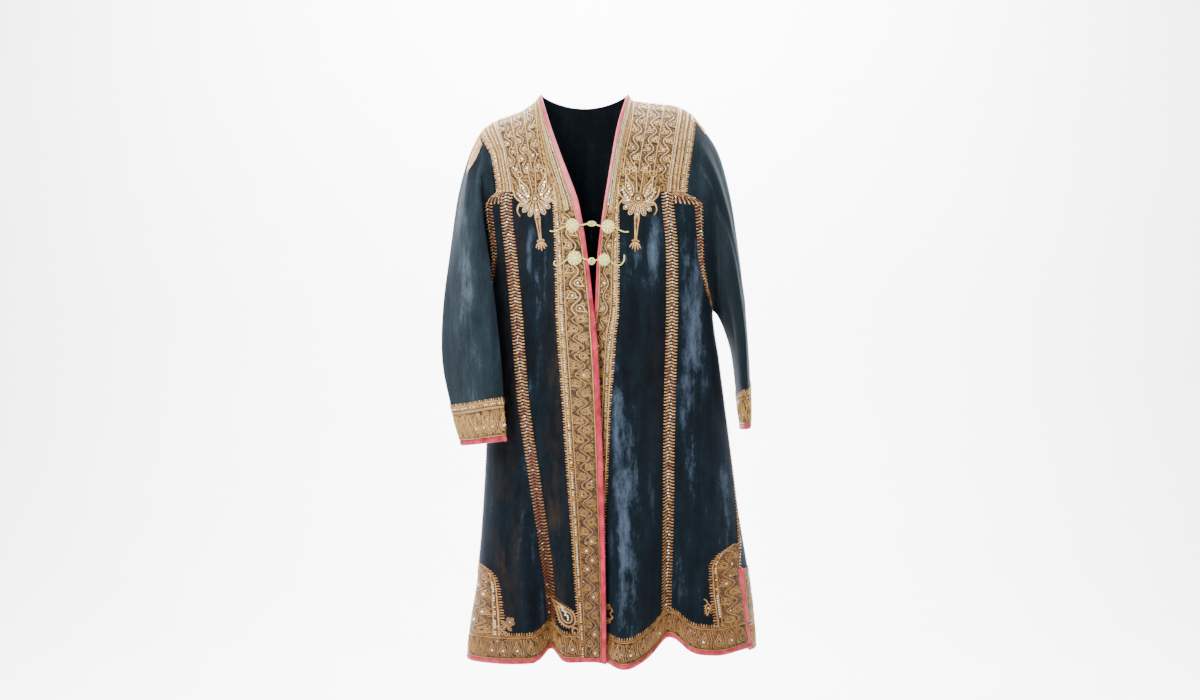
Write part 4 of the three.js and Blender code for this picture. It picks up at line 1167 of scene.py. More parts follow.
def add_front(name, grid, light, rub):
    def ground(node, rows, cols, layer=SEWN_GOLD, cut=None):
        lay(grid, f"{node}_{name}", rows, cols, *FRONT_WALL, layer, cut=cut)

    nap = worn(light, rub)
    lay_velvet(grid, f"front_{name}", (BINDING_ROW, TOP), (BIND, SEAM), BODY_VELVET, nap)
    lay_velvet(grid, f"side_front_{name}", (BINDING_ROW, YOKE), (SEAM, SIDE_COL), BODY_VELVET, nap)
    lay_velvet(grid, f"shoulder_front_{name}", (YOKE, TOP), (SEAM, SIDE_COL), BODY_VELVET, nap)
    faded = worn([(0, -130, 400, 95, 0.9)])
    lay_rolled(grid, f"edge_binding_{name}", (0, TOP), (EDGE, BIND), shares(PER_COL), faded)
    hem = (0, BINDING_ROW), (BIND, SIDE_COL)
    lay_rolled(grid, f"hem_binding_front_{name}", *hem, shares(PER_ROW)[:, None])
    ground("front_border", (BINDING_ROW, TOP), (BIND, BORDER))
    ground("hem_border_front", (BINDING_ROW, BORDER_ROW), (BORDER, SIDE_IN))
    ground("slit_binding_front", (BINDING_ROW, SLIT_TOP), (SIDE_IN, SIDE_COL), SEWN_SATIN)
    ground("yoke_front", (YOKE, TOP), (BORDER, SIDE_COL), cut=YOKE_CUT[name])
    ground("braid_bar", (BAR, YOKE), (SEAM_OUT, SIDE_COL), SEWN_BRAID)
    ground("front_braid", (BORDER_ROW, YOKE), (SEAM_IN, SEAM_OUT), SEWN_BRAID)
    ground("side_braid", (SLIT_TOP, BAR), (SIDE_IN, SIDE_OUT), SEWN_BRAID)


NECK_COLS, LAST_BACK_COL = (4, 8), BACK_COLS - 1


def add_back():
    def ground(node, rows, cols, layer=SEWN_GOLD):
        lay(back, node, rows, cols, *SEWN_WALL, layer)

    lay_velvet(back, "back", (BINDING_ROW, TOP), (0, BACK_COLS), BODY_VELVET, worn(BACK_LIGHT))
    lay_rolled(back, "hem_binding_back", (0, BINDING_ROW), (0, BACK_COLS), shares(PER_ROW)[:, None])
    ground("hem_border_back", (BINDING_ROW, BORDER_ROW), (1, LAST_BACK_COL))
    ground("slit_binding_back_left", (BINDING_ROW, SLIT_TOP), (0, 1), SEWN_SATIN)
    ground("slit_binding_back_right", (BINDING_ROW, SLIT_TOP), (LAST_BACK_COL, BACK_COLS), SEWN_SATIN)
    ground("slit_border_back_left", (BORDER_ROW, SLIT_TOP), (1, 2))
    ground("slit_border_back_right", (BORDER_ROW, SLIT_TOP), (LAST_BACK_COL - 1, LAST_BACK_COL))
    ground("yoke_back_left", (SHOULDER_BAND, TOP), (0, NECK_COLS[0]))
    ground("yoke_back_right", (SHOULDER_BAND, TOP), (NECK_COLS[1], BACK_COLS))
    ground("neck_border_back", (SHOULDER_BAND, NECK_BAND), NECK_COLS)
    ground("neck_binding_back", (NECK_BAND, TOP), NECK_COLS, SEWN_SATIN)


STRIP_PLACE = (0, 1), (2 * QUARTER - 1, 2 * QUARTER + 1)


def add_sleeve(name, grid, light):
    lay_velvet(grid, f"sleeve_{name}", (0, SLEEVE_HEM), ROUND, ARM_VELVET, worn(light))
    lay(grid, f"shoulder_strip_{name}", *STRIP_PLACE, *SEWN_WALL, SEWN_GOLD)
    lay(grid, f"cuff_{name}", (CUFF_RING, SLEEVE_HEM), ROUND, *SEWN_WALL, SEWN_GOLD)
    lay_rolled(grid, f"cuff_binding_{name}", (SLEEVE_HEM, LAST_RING), ROUND, shares(PER_RING)[:, None])


add_front("right", right_front, RIGHT_LIGHT, RIGHT_RUB)
add_front("left", left_front, LEFT_LIGHT, LEFT_RUB)
add_back()
add_sleeve("right", right_sleeve, RIGHT_SLEEVE_LIGHT)
add_sleeve("left", left_sleeve, LEFT_SLEEVE_LIGHT)


def level_at(folds, x, z):
    """The level of the table that a point of this height comes from."""
    lift = hem_z(folds, x) - HEM
    full = HEM + HEM_ROWS[-1]
    share = lift / (FADE_TOP - full)
    faded = (z - share * FADE_TOP) / (1 - share)
    return np.where(z > FADE_TOP, z, np.where(z < full + lift, z - lift, faded))


def cover(f, x, z):
    """The point of a front at x and z, and the way that it faces."""

    def at(a, b):
        return f(a, level_at(FRONT_FOLDS, a, b))

    x, z = np.asarray(x, float), np.asarray(z, float)
    slope_x, slope_z = at(x + 0.5, z) - at(x - 0.5, z), at(x, z + 0.5) - at(x, z - 0.5)
    n = np.stack([slope_x, np.full(x.shape, -1.0), slope_z], -1)
    return np.stack([x, at(x, z), z], -1), n / np.linalg.norm(n, axis=-1, keepdims=True)


RIGHT_CORNER = [(-172, -1030), (-173, -988), (-177, -946), (-182, -912), (-196, -891), (-222, -880)]
LEFT_CORNER = [(234, -1030), (232, -988), (228, -960), (224, -925), (222, -882), (234, -861), (266, -842)]


def corner_patch(grid, line):
    """x and z over a slit's corner panel, from its inner line to the braid beside the slit."""
    outer = grid.p[BORDER_ROW * PER_ROW : CORNER_TOP * PER_ROW + 1, SIDE_IN * PER_COL]
    line = np.array(line, float)
    inner_x, top_z = curve(line[:, 1], line[:, 0]), line[-1, 1]
    bottom = grid.p[BORDER_ROW * PER_ROW]
    start_z = np.interp(inner_x(-1000.0), *sorted_pair(bottom[:, 0], bottom[:, 2]))
    # The panel ends where its line meets the braid.
    heights = start_z + (top_z - start_z) * np.linspace(0, 1, 200)
    beyond = np.sign(line[-1, 0]) * (inner_x(heights) - np.interp(heights, outer[:, 2], outer[:, 0])) > 0
    top = heights[np.argmax(beyond)] if beyond.any() else heights[-1]
    z_in, z_out = (low + (top - low) * np.linspace(0, 1, 41) for low in (start_z, outer[0, 2]))
    x_in, x_out = inner_x(z_in), np.interp(z_out, outer[:, 2], outer[:, 0])
    share = np.linspace(0, 1, 17)[None]
    return x_in[:, None] + (x_out - x_in)[:, None] * share, z_in[:, None] + (z_out - z_in)[:, None] * share


def axis_patch(start, end, profile):
    """x and z over a shape that lies about an axis."""
    share, plus, minus = (np.array(column, float) for column in zip(*profile))
    start, end = np.array(start, float), np.array(end, float)
    along = end - start
    side = np.array([-along[1], along[0]]) / np.hypot(*along)
    t = np.linspace(0, 1, 40)[:, None]
    across = np.linspace(-1, 1, 13)[None]
    half = np.where(across > 0, np.interp(t, share, plus), np.interp(t, share, minus)) * across
    return start[0] + along[0] * t + side[0] * half, start[1] + along[1] * t + side[1] * half


# Shapes about an axis: the share of its length, and how far the shape reaches to each side there.
PALMETTE = [
    (0, 34, 34), (0.1, 38, 38), (0.18, 34, 34), (0.25, 24, 24), (0.32, 10, 10), (0.5, 3, 3), (0.6, 3, 3),
    (0.82, 1.6, 1.6), (0.93, 2.5, 2.5), (1, 1.2, 1.2),
]
PAISLEY = [
    (0, 0.5, 2), (0.12, 2, 7), (0.3, 8, 12), (0.5, 14, 15), (0.7, 17, 14), (0.85, 14, 11), (0.95, 8, 7),
    (1, 3, 3),
]
FLOWER = [(0, 1.2, 1.2), (0.45, 1.2, 1.2), (0.5, 5, 5), (0.65, 8, 8), (0.85, 7.5, 7.5), (1, 3, 3)]
BUD = [(0, 1.2, 1.2), (0.25, 4.5, 4.5), (0.5, 5.5, 5.5), (0.75, 4.5, 4.5), (1, 1, 1)]
MOTIFS = {
    "palmette_right": (right_y, (-111, -170), (-95, -290), PALMETTE),
    "palmette_left": (left_y, (86, -170), (78, -292), PALMETTE),
    "paisley": (right_y, (-70, -931), (-36, -990), PAISLEY),
    "flower": (right_y, (-171, -1003), (-149, -977), FLOWER),
    "bud": (left_y, (215, -971), (215, -948), BUD),
}
for key, (surface, *axis_shape) in MOTIFS.items():
    filling = (BRAID_GROUND if key == "paisley" else GROUND, "embroidery")
    add_sheet(key, cover(surface, *axis_patch(*axis_shape)), *MOTIF_WALL, filling)
CORNERS = {"right": (right_y, right_front, RIGHT_CORNER), "left": (left_y, left_front, LEFT_CORNER)}
CORNERS = {name: cover(f, *corner_patch(*place)) for name, (f, *place) in CORNERS.items()}
for name, patch in CORNERS.items():
    add_sheet(f"slit_corner_{name}", patch, *SEWN_WALL, SEWN_GOLD)


# ---- the embroidery ----

HEM_BROAD, CUFF_BROAD, YOKE_START = 44, 66, 34


def front_stitching(name, grid, seed, b, y):
    """All the needlework of one front but for its motifs. Its border is b wide and its yoke y."""
    work = Stitching()
    # the border down the front edge: across it, 0 lies beside the binding
    work.begin(grid.part((BINDING_ROW, TOP), (BIND, BORDER)), b)
    edging_end, neck, turn_over, fine = (work.strip.along_at(z) for z in (-175, -222, -205, -410))
    work.lines((1.2,), 0.8, 1.0, GOLD)
    work.over(0, neck).lines((3.0,))
    rng = np.random.default_rng(seed + 5)
    for along in np.arange(6, neck, 11.0):
        tick = along + rng.uniform(-1, 1)
        work.cord([(tick, 3.6), (tick + 1.4, 6.6)], [0.9, 1.3], 0.7, 1.1, BROWN)
    scroll_band(work.over(0, fine), 5.0, b - 15.5, 34, seed, 0.2, fine=True)
    scroll_band(work.over(fine, neck), 5.0, b - 15.5, 46, seed + 1)
    work.over(0, edging_end).edging(b - 13.5, b - 1.0, seed + 7)
    # beside the neck: a bead row, a pale ridge and chains
    work.over(turn_over).beads(b * 0.12, 4.2, 1.6, seed + 9)
    work.over(turn_over - 8).lines((b * 0.22, b * 0.55, b * 0.74))
    work.lines((b * 0.30,), 1.5, 1.3, PALE)
    work.slants(b * 0.58, b * 0.71, 3.4, 2.4)
    work.slants(b * 0.92, b * 0.78, 3.4, 2.4)
    work.slants(b * 0.38, b * 0.51, 3.0, -2.2, PALE)
    work.settle()
    # the yoke: across it, 0 lies beside the border
    work.begin(narrowed(grid.part((YOKE, TOP), (BORDER, SIDE_COL)), YOKE_CUT[name]), y)
    work.over(YOKE_START)
    thirds = np.linspace(2.5, y - 34, 4)
    for k in range(3):
        work.paired((thirds[k],), (thirds[k] + 1.5,))
        scroll_band(work, thirds[k] + 2.4, thirds[k + 1] - 0.6, 40, seed + 20 + k, 1.0)
    work.over().paired((y - 33, y - 28, y - 16), (y - 31.4, y - 26.4, y - 17.6))
    work.slants(y - 25, y - 18.6, 3.4, 2.6)
    work.beads(y - 30, 4.0, 1.2, seed + 31)
    work.beads(y - 22, 3.4, 1.1, seed + 32, 0.7)
    work.edging(y - 14, y - 1.0, seed + 33)
    work.settle()
    # the hem: along it runs from the border to the slit
    length = work.begin(grid.part((BINDING_ROW, BORDER_ROW), (BORDER, SIDE_IN)), HEM_BROAD, turned=True)
    work.paired((1.2, HEM_BROAD - 4.6), (2.8, HEM_BROAD - 3.0), 0.7)
    boteh_row(work, 4.0, HEM_BROAD - 5.6, 27, seed + 40)
    work.slants(HEM_BROAD - 2.4, HEM_BROAD - 0.6, 3.2, 1.0)
    work.over(0, length - 34).teeth(HEM_BROAD, 4.8, (GOLD, PALE, GOLD, RED))
    work.settle()
    work.make(f"embroidery_front_{name}")
    # the braids
    work = Stitching()
    red, worn_to = (0.55, 330) if name == "right" else (0.3, 0)
    for rows, cols, broad, turned, braid in (
        ((BORDER_ROW, YOKE), (SEAM_IN, SEAM_OUT), 16, False, (16, seed + 50, red, 0, worn_to)),
        ((SLIT_TOP, BAR), (SIDE_IN, SIDE_COL), 10, False, (8, seed + 51, 0.7, 1.6)),
        ((BAR, YOKE), (SEAM_OUT, SIDE_COL), 18, True, (18, seed + 52, 0.55)),
    ):
        work.begin(grid.part(rows, cols), broad, turned)
        herringbone(work, *braid)
        work.settle()
    work.make(f"braiding_{name}")


front_stitching("right", right_front, 11, 55, 112)
front_stitching("left", left_front, 12, 41, 118)


def shoulder_tail(work, grid, seed):
    """Stitches that carry the right shoulder's gold on down the sleeve, narrowing to a ragged end."""
    columns = (2 * QUARTER - 2.8, 2 * QUARTER - 1.2)
    broad, rows = 32, 4
    end = 0.85 * work.begin(grid.part((0.4, TAIL_RING), columns), broad, flip=True)
    rng = np.random.default_rng(seed)

    def across(along, row):
        return broad / 2 + 8 * (row - rows / 2) * (1 - (along / end) ** 3)

    path = np.linspace(0, end * 0.96, 20)
    for row in range(rows):
        half = 4.2 * (1 - (path / end) ** 3)
        work.cord(np.stack([path, across(path, row + 0.5)], 1), half, 0.3, 1.0, BROWN)
    for row in range(rows + 1):
        work.cord(np.stack([path, across(path, row)], 1), 0.8, 1.4)
    for along in np.arange(0, end * 0.96, 3.0):
        kind = RED if along > end * 0.84 else GOLD
        for row in range(rows):
            lean = 1.5 if row % 2 else -1.5
            ends = [(along - lean, across(along, row + 0.14)), (along + lean, across(along, row + 0.86))]
            work.cord(ends, 0.9, 0.9, 1.0, kind)
            if rng.random() < 0.2:
                work.disc(along, across(along, row + 0.5), 1.4, 2.0, rng.uniform(-0.3, 0.3))
    for k in range(-3, 4):
        ragged = [(0.86, 2.0 * k), (0.98 + 0.03 * (k % 3), 1.3 * k)]
        ragged = [(end * share, broad / 2 + off) for share, off in ragged]
        work.cord(ragged, [1.0, 0.6], 0.9, 1.0, RED)
    work.settle()


def cuff_stitching(name, grid, seed):
    work = Stitching()
    work.begin(grid.part((CUFF_RING, SLEEVE_HEM), ROUND), CUFF_BROAD, turned=True, flip=True)
    work.paired((1.2, CUFF_BROAD - 15), (2.8, CUFF_BROAD - 16.6), 0.7)
    boteh_row(work, 4.0, CUFF_BROAD - 17.4, 25, seed)
    work.edging(CUFF_BROAD - 13, CUFF_BROAD - 1, seed + 1)
    work.settle()
    work.begin(grid.part(*STRIP_PLACE), 24)
    work.paired((2, 8, 14, 20), (4, 10, 16, 22))
    work.beads(6, 4.0, 1.2, seed + 2)
    work.beads(18, 4.0, 1.2, seed + 3)
    work.settle()
    if name == "right":
        shoulder_tail(work, grid, seed + 4)
    work.make(f"embroidery_cuff_{name}")


cuff_stitching("right", right_sleeve, 71)
cuff_stitching("left", left_sleeve, 72)


def corner_stitching(name, seed):
    work = Stitching()
    length = work.begin(CORNERS[name], 42)
    work.paired((1.5, 6.5), (3.2,))
    work.beads(4.6, 4.2, 1.2, seed + 2, 0.7)
    work.teeth(0.5, -4.8, (GOLD, RED, GOLD))
    scroll_band(work.over(0, length * 0.94), 7.5, 41, 34, seed, 0.35, fine=True)
    work.settle()
    work.make(f"embroidery_corner_{name}")


corner_stitching("right", 81)
corner_stitching("left", 82)


def back_stitching():
    work = Stitching()
    length = work.begin(back.part((BINDING_ROW, BORDER_ROW), (1, LAST_BACK_COL)), HEM_BROAD, turned=True)
    work.paired((1.2, 39.4), (2.8, 41.0), 0.7)
    boteh_row(work, 4.0, 38.4, 27, 91)
    work.over(26, length - 26).teeth(HEM_BROAD, 4.4)
    work.settle()
    for number, cols in enumerate(((1, 2), (LAST_BACK_COL - 1, LAST_BACK_COL))):
        work.begin(back.part((BORDER_ROW, SLIT_TOP), cols), 30, flip=number == 1)
        work.lines((1.5, 24), 0.7, 1.0, GOLD)
        scroll_band(work, 3, 22.5, 36, 95 + number, 0.3, fine=True)
        work.beads(26.5, 4.0, 1.2, 97 + number)
        work.teeth(29.5, 4.4)
        work.settle()
    for number, cols in enumerate(((0, NECK_COLS[0]), (NECK_COLS[1], BACK_COLS))):
        work.begin(back.part((SHOULDER_BAND, TOP), cols), 60, turned=True)
        work.lines((1.5, 14, 57), 0.7, 1.0, GOLD)
        scroll_band(work, 15, 56, 42, 101 + number)
        work.beads(8, 4.0, 1.3, 103 + number)
        work.teeth(1, -4.4)
        work.settle()
    work.begin(back.part((SHOULDER_BAND, NECK_BAND), NECK_COLS), 30, turned=True)
    work.lines((1.5, 9, 16, 28), 0.8, 1.0, GOLD)
    work.slants(2.6, 8, 3.2, 2.2)
    work.slants(17.4, 26.6, 3.2, -2.4)
    work.beads(12.5, 4.0, 1.4, 105)
    work.settle()
    work.make("embroidery_back")


back_stitching()


def axis_place(f, start, end):
    """Millimetres along and across an axis on a front."""
    start, end = np.array(start, float), np.array(end, float)
    along = (end - start) / np.hypot(*(end - start))

    def place(a, c, out):
        p, n = cover(f, start[0] + along[0] * a - along[1] * c, start[1] + along[1] * a + along[0] * c)
        return p + n * out[:, None]

    return place


def ray(lean):
    return np.array([math.cos(lean), math.sin(lean)])


def palmette(work, m):
    """Leaves that curl above a fan of petals, hooks at its sides, and a stem to a claw.

    m is -1 if the whole is mirrored.
    """
    for side in (1, -1):
        # the great leaves, one curling out above the other, with the edge of the gold below them
        work.leaf((-20, side * 31), (14, side * 12), 15, -side * 0.16, 0.95)
        work.leaf((-16, side * 28), (13, side * 12), 14, -side * 0.16, 0.7, 0.5)
        work.leaf((2, side * 35), (24, side * 15), 11, -side * 0.2, 0.9)
        work.outlined(arc(-28, side * 24, 8.0, side * 2.2, -side * 6.4, 0.72), 0.85)
        work.outlined(arc(-34, side * 9, 6.0, -side * 0.8, side * 7.4, 0.74), 0.8)
        work.outlined(rounded([(25, side * 26), (14, side * 36), (-2, side * 39)], 5), 1.0)
        for k in range(5):
            work.disc(-6 + 5.4 * k, side * (22 - 2.4 * k), 2.0, 2.1, 0.25 * math.sin(k))
            work.disc(8 + 4.4 * k, side * (31 - 3.6 * k), 1.9, 2.1, 0.25 * math.cos(k))
        # hooks beside the fan
        hook = rounded([(24, side * 25), (31, side * 33), (41, side * 36), (51, side * 33 + m)], 5)
        work.outlined(hook, np.linspace(1.4, 0.4, len(hook)))
    # the fan
    for k in range(-3, 4):
        petal = ray(k * 0.44)
        near, far = np.array([22.0, 0.0]) + 9 * petal, np.array([22.0, 0.0]) + (36 - 1.4 * abs(k)) * petal
        work.leaf(near, far, 8.0, 0.05 * k * m, 0.8)
        for share in (0.46, 0.62, 0.78):
            work.disc(*(near + share * (far - near)), 1.5, 1.6, 0.3 * m)
    work.outlined(arc(22, 0, 7.0, 0, 6.3), 0.7)
    work.disc(22, 0, 3.0, 2.2, 0.2)
    for across in (-3.0, 3.0):
        work.outlined([(-34, across * 2.4), (-12, across * 1.8), (10, across)], 0.8)
    # the stem and its claw
    for side in (-1, 1):
        stem = [(56, side * 4.2), (66, side * 3.2), (80, side * 2.2), (100, side * 1.2)]
        work.outlined(rounded(stem, 4), 0.8)
    for lean in (-1.0, -0.5, 0.0, 0.5, 1.0):
        middle, end = (8, 8.5) * ray(lean), (15 * math.cos(lean * 0.8), 12 * math.sin(lean))
        path = [(104, lean * 2), (104 + middle[0], middle[1]), (104 + end[0], end[1])]
        work.outlined(path, [1.0, 0.9, 0.45])
    work.outlined([(103, -7), (100, -3), (101, 0), (100, 3), (103, 7)], 0.8)


def rosette(work, at, radius):
    for k in range(5):
        petal = radius * ray(2 * math.pi * k / 5)
        work.leaf(np.array(at) + 0.25 * petal, np.array(at) + petal, radius * 0.62, 0.0, 0.55)
    work.disc(*at, 1.5, 2.2)


def motif_stitching():
    work = Stitching()
    for name, mirror in (("right", 1), ("left", -1)):
        palmette(work, mirror)
        work.settle(axis_place(*MOTIFS[f"palmette_{name}"][:3]))
    # the paisley: rings inside its edge, short teeth all round, and a bright middle
    length = 68.0
    shape = (2, -3), (length - 2, 0), 29, -0.10
    for scale in (0.97, 0.62):
        work.leaf(*shape, 1.0, scale)
    centre = np.array([length * 0.66, 0])
    for at in ring_of(teardrop(*shape), 4.6):
        outwards = (at - centre) / np.linalg.norm(at - centre)
        work.cord([at, at + outwards * 2.2, at + outwards * 4.2], [0.9, 0.8, 0.5], 0.9, 0.7)
    for k in range(9):
        work.disc(length * 0.36 + k * 3.3, 1.6 * math.sin(k * 2.2), 1.9, 2.2, 0.25 * math.sin(k))
    work.outlined([(length, 0), (length + 6, 5), (length + 12, 4)], [1.1, 0.9, 0.5])
    work.outlined([(length, 0), (length + 5, -5), (length + 11, -7)], [1.1, 0.9, 0.5])
    work.settle(axis_place(*MOTIFS["paisley"][:3]))
    # the flower on its stem, with two leaves on each side
    work.outlined([(-4, 0), (8, 1.5), (19, 0)], 1.0)
    for side in (1, -1):
        work.leaf((6, side * 1), (3, side * 13), 5.0, 0.2 * side, 0.8)
        work.leaf((13, side * 1), (16, side * 12), 4.0, -0.2 * side, 0.7)
    rosette(work, (25.5, 0), 8.6)
    work.settle(axis_place(*MOTIFS["flower"][:3]))
    # the bud, with barbs and a hooked tip
    work.leaf((0, 0), (22, 0), 9, 0.1, 0.6)
    for side in (1, -1):
        for k in range(4):
            at = 6 + 4.4 * k
            barb = [(at, side * (3.4 + 0.4 * k)), (at - 2, side * (7.0 + 0.4 * k))]
            work.cord(barb, [0.8, 0.5], 0.8, 0.8)
    work.outlined([(22, 0), (28, 3), (31, 8)], 0.7)
    work.disc(14, 0, 1.5, 2.2)
    work.settle(axis_place(*MOTIFS["bud"][:3]))
    # the half of a small flower that shows beside the lap
    for along in (14, -12):
        rosette(work, (along, 0), 5.6)
    work.outlined(rounded([(-12, 5), (-6, 9), (0, 5), (6, 9), (12, 5)], 4), 0.7)
    work.settle(axis_place(left_y, (28, -964), (28, -965)))
    work.make("embroidery_motifs")


motif_stitching()

# ---- clasps ----

DISC_OUT, LINK_OUT, CORD = 1.9, 3.6, 1.3
DISC_RAYS, RIM_BEADS, DISC_RINGS, DISC_SPOKES = 9, 30, 25, 96
PLIES, PLY_DEPTH = 3, 0.16
# x, z and radius of each disc; x, z and half sizes of the knot; x, z and height of the tails' points.
CLASPS = {
    "upper": {
        "right": (-38, -243, 13),
        "left": (28.5, -245, 13),
        "knot": (-2, -240, 9.5, 5),
        "right_tail": [(-51.5, -245, 3.3), (-62, -250, 3.3), (-71, -254, 3.2), (-80, -253, 2)],
        "left_tail": [(42, -247, 3.3), (50, -252, 3.3), (58, -255, 2.4), (66.5, -255, 2)],
    },
    "lower": {
        "right": (-34, -304, 13.5),
        "left": (21, -307, 11.5),
        "knot": (-2, -310, 7.5, 7.5),
        "right_tail": [
            (-48, -306, 3.3), (-56, -313, 3.3), (-64, -318, 3.3), (-72, -316, 2.4), (-71, -309, 2.2),
        ],
        "left_tail": [(33, -310, 3.3), (42, -316, 3.3), (51, -317, 2.6), (58, -309, 2), (59, -298, 2)],
    },
}


def capped_rings(rings, count, flip=False):
    """Faces between closed rings of points, and to one point beyond each end, listed after the rings."""
    i, j = np.meshgrid(np.arange(rings - 1), np.arange(count), indexing="ij")
    a, b = i * count + j, i * count + (j + 1) % count
    faces = np.stack([a, b, b + count, a + count], 2).reshape(-1, 4).tolist()
    tip, last = rings * count, (rings - 1) * count
    faces += [[tip, (k + 1) % count, k] for k in range(count)]
    faces += [[tip + 1, last + k, last + (k + 1) % count] for k in range(count)]
    return [face[:1] + face[:0:-1] for face in faces] if flip else faces


def tube(path, radius, sides, twist):
    """Points, faces and groove depths of a laid cord, its plies turning as it goes. The groove depths paint
    shade between the plies.
    """
    direction = np.gradient(path, axis=0)
    direction /= np.linalg.norm(direction, axis=1, keepdims=True)
    side = np.cross(direction, (0.0, 1.0, 0.0))
    side /= np.linalg.norm(side, axis=1, keepdims=True)
    up = np.cross(side, direction)
    turn = np.arange(sides) * 2 * math.pi / sides
    laid = np.cos(PLIES / 2 * (turn[None] - twist * run_along(path)[:, None]))
    bulge = 1 - PLY_DEPTH + PLY_DEPTH * np.abs(laid)
    round_it = side[:, None] * np.cos(turn)[None, :, None] + up[:, None] * np.sin(turn)[None, :, None]
    rings = path[:, None] + round_it * (radius * bulge)[..., None]
    verts = np.concatenate([rings.reshape(-1, 3), path[:1], path[-1:]])
    groove = np.concatenate([(1.1 * (1 - bulge) / PLY_DEPTH - 0.1).ravel(), [0, 0]])
    return verts, capped_rings(len(path), sides), groove


def merged(parts):
    verts, faces, grooves, count = [], [], [], 0
    for v, f, groove in parts:
        verts.append(v)
        faces += [[i + count for i in face] for face in f]
        grooves.append(groove)
        count += len(v)
    return np.concatenate(verts), faces, np.concatenate(grooves)


def ridge(s, at, wide):
    return np.exp(-(((s - at) / wide) ** 2))


def clasp_disc(f, x, z, radius):
    """A domed disc of wound cord: rays round a ring, a rim of beads and a knot in the middle."""
    p, n = cover(f, x, z)
    u = np.cross(n, (0.0, 0.0, 1.0))
    u /= np.linalg.norm(u)
    v = np.cross(u, n)
    radii = np.concatenate([np.linspace(0.04, 1, DISC_RINGS), [1.0, 0.6]])
    s, t = np.meshgrid(radii, np.arange(DISC_SPOKES) * 2 * math.pi / DISC_SPOKES, indexing="ij")
    dome = 3.0 * (1 - np.clip(s, 0, 1) ** 2.2) ** 0.7 + 0.5
    rays = 0.6 * np.cos(t * DISC_RAYS) * smooth((s - 0.38) / 0.1) * smooth((0.86 - s) / 0.08)
    rim = 0.5 * ridge(s, 0.93, 0.06) * (1 + 0.5 * np.cos(t * RIM_BEADS))
    eye = 0.7 * ridge(s, 0, 0.2) - 0.5 * ridge(s, 0.3, 0.05)
    high = dome + rays + 0.15 * np.cos(s * 42) + rim + eye
    high[-2:] = 0.0
    point = p + (u * np.cos(t)[..., None] + v * np.sin(t)[..., None]) * (s * radius)[..., None]
    point = point + n * (DISC_OUT + high)[..., None]
    verts = np.concatenate([point.reshape(-1, 3), [p + n * (DISC_OUT + 4.2)], [p + n * DISC_OUT]])
    # how deep each point lies in a groove, for painted shade: between the rays, in the rings at 0.3 and
    # 0.87, and under the rim
    groove = np.clip(0.2 - 0.8 * rays, 0, 1) * smooth((s - 0.3) / 0.1) + 0.55 * smooth((s - 0.97) / 0.03)
    groove = groove + 0.7 * ridge(s, 0.3, 0.045) + 0.5 * ridge(s, 0.87, 0.03)
    return verts, capped_rings(*s.shape, flip=True), np.concatenate([groove.ravel(), [0, 0]])


def out_from(f, points):
    """Points on a front: x, z and how far out from it."""
    p = np.array(points, float)
    base, n = cover(f, p[:, 0], p[:, 1])
    return base + n * p[:, 2:3]


def clasp_link(clasp):
    """A cord from disc to disc, tied in a round knot over the opening."""
    x, z, half_width, half_height = clasp["knot"]
    middle = out_from(right_y, [(x, z, LINK_OUT)])[0]
    ends = []
    for side, f, sign in (("right", right_y, 1), ("left", left_y, -1)):
        disc_x, disc_z, radius = clasp[side]
        ends.append(out_from(f, [(disc_x + sign * (radius + 0.3), disc_z, LINK_OUT)])[0])
    parts = [tube(rounded([ends[0], middle, ends[1]], 14), CORD, 12, 0.9)]
    t = np.linspace(0, 2 * math.pi, 37)
    for lean in np.arange(5) * math.pi / 5:
        x = np.cos(t) * math.cos(lean) * 0.82 * half_width
        y = np.cos(t) * math.sin(lean) * 0.82 * 4.0
        z = (np.sin(t) * 0.78 + 0.12 * np.cos(t) * math.sin(lean * 2)) * half_height
        parts.append(tube(middle + np.stack([x, y, z], 1), 1.15, 8, 1.2))
    return merged(parts)


def add_clasp_piece(name, verts, faces, groove):
    obj = make_object("gilt_" + name, verts, faces, [CLASP_GOLD], attributes={"groove": groove})
    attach(obj, "root")
    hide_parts(name)


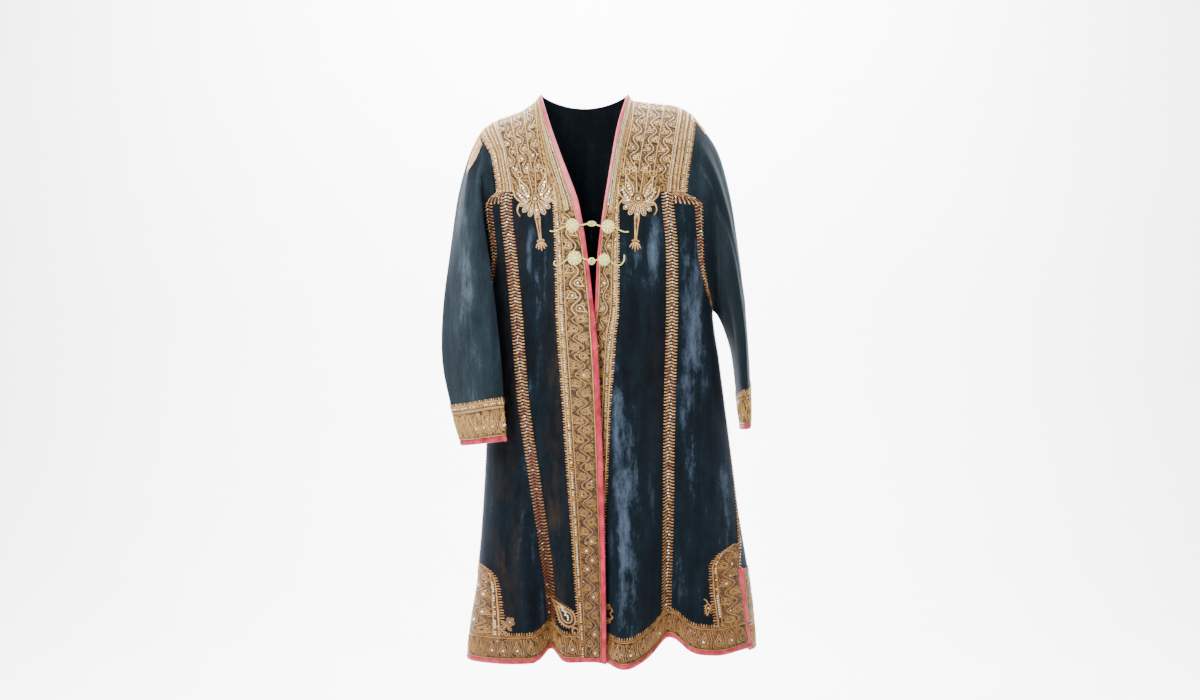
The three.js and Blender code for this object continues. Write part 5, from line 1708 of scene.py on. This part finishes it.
for name, clasp in CLASPS.items():
    for side, f in (("right", right_y), ("left", left_y)):
        add_clasp_piece(f"clasp_disc_{name}_{side}", *clasp_disc(f, *clasp[side]))
        tail = rounded(out_from(f, clasp[f"{side}_tail"]), 10)
        add_clasp_piece(f"clasp_tail_{name}_{side}", *tube(tail, CORD, 12, 0.9))
    add_clasp_piece(f"clasp_link_{name}", *clasp_link(clasp))

# ---- the studio, in metres ----


def add_lights():
    world = bpy.data.worlds.new("studio")
    bpy.context.scene.world = world
    world.use_nodes = True
    background = world.node_tree.nodes["Background"]
    background.inputs[0].default_value = (1, 1, 1, 1)
    background.inputs[1].default_value = 0.30
    for place, size, energy, aim, spread in (
        ((-1.05, -1.9, 1.25), 1.0, 52, (0, 0, -0.1), 110),
        ((1.2, -2.2, 0.5), 1.2, 15, (0, 0, -0.3), 130),
        ((0.0, 1.4, 1.6), 3.0, 1050, (0, 3.2, -0.6), 180),
    ):
        data = bpy.data.lights.new("soft_light", "AREA")
        data.size = size
        data.energy = energy
        data.spread = math.radians(spread)
        light = bpy.data.objects.new("soft_light", data)
        light.location = place
        x, y, z = np.array(aim) - np.array(place)
        light.rotation_euler = (math.atan2(math.hypot(x, y), -z), 0, math.atan2(x, -y) + math.pi)
        bpy.context.collection.objects.link(light)


def add_floor():
    """A pale floor that curves up into a pale wall."""
    m = Material("floor")
    pale = [(0.3, (0.93, 0.93, 0.93)), (0.7, (0.96, 0.96, 0.96))]
    material = m.finish(m.ramp(m.noise(m.place(), 3.0, 3.0), pale), 0.9)
    profile = [(-7.0, 0.0), (2.4, 0.0)]
    profile += [(2.4 + 1.2 * math.sin(t), 1.2 - 1.2 * math.cos(t)) for t in np.linspace(0, math.pi / 2, 12)]
    profile += [(3.6, 6.0)]
    verts = [(x, y, z - 1.5) for x in (-9.0, 9.0) for y, z in profile]
    n = len(profile)
    faces = [(i, i + n, i + n + 1, i + 1) for i in range(n - 1)]
    make_object("floor", np.array(verts) / MM, faces, [material])


add_lights()
add_floor()
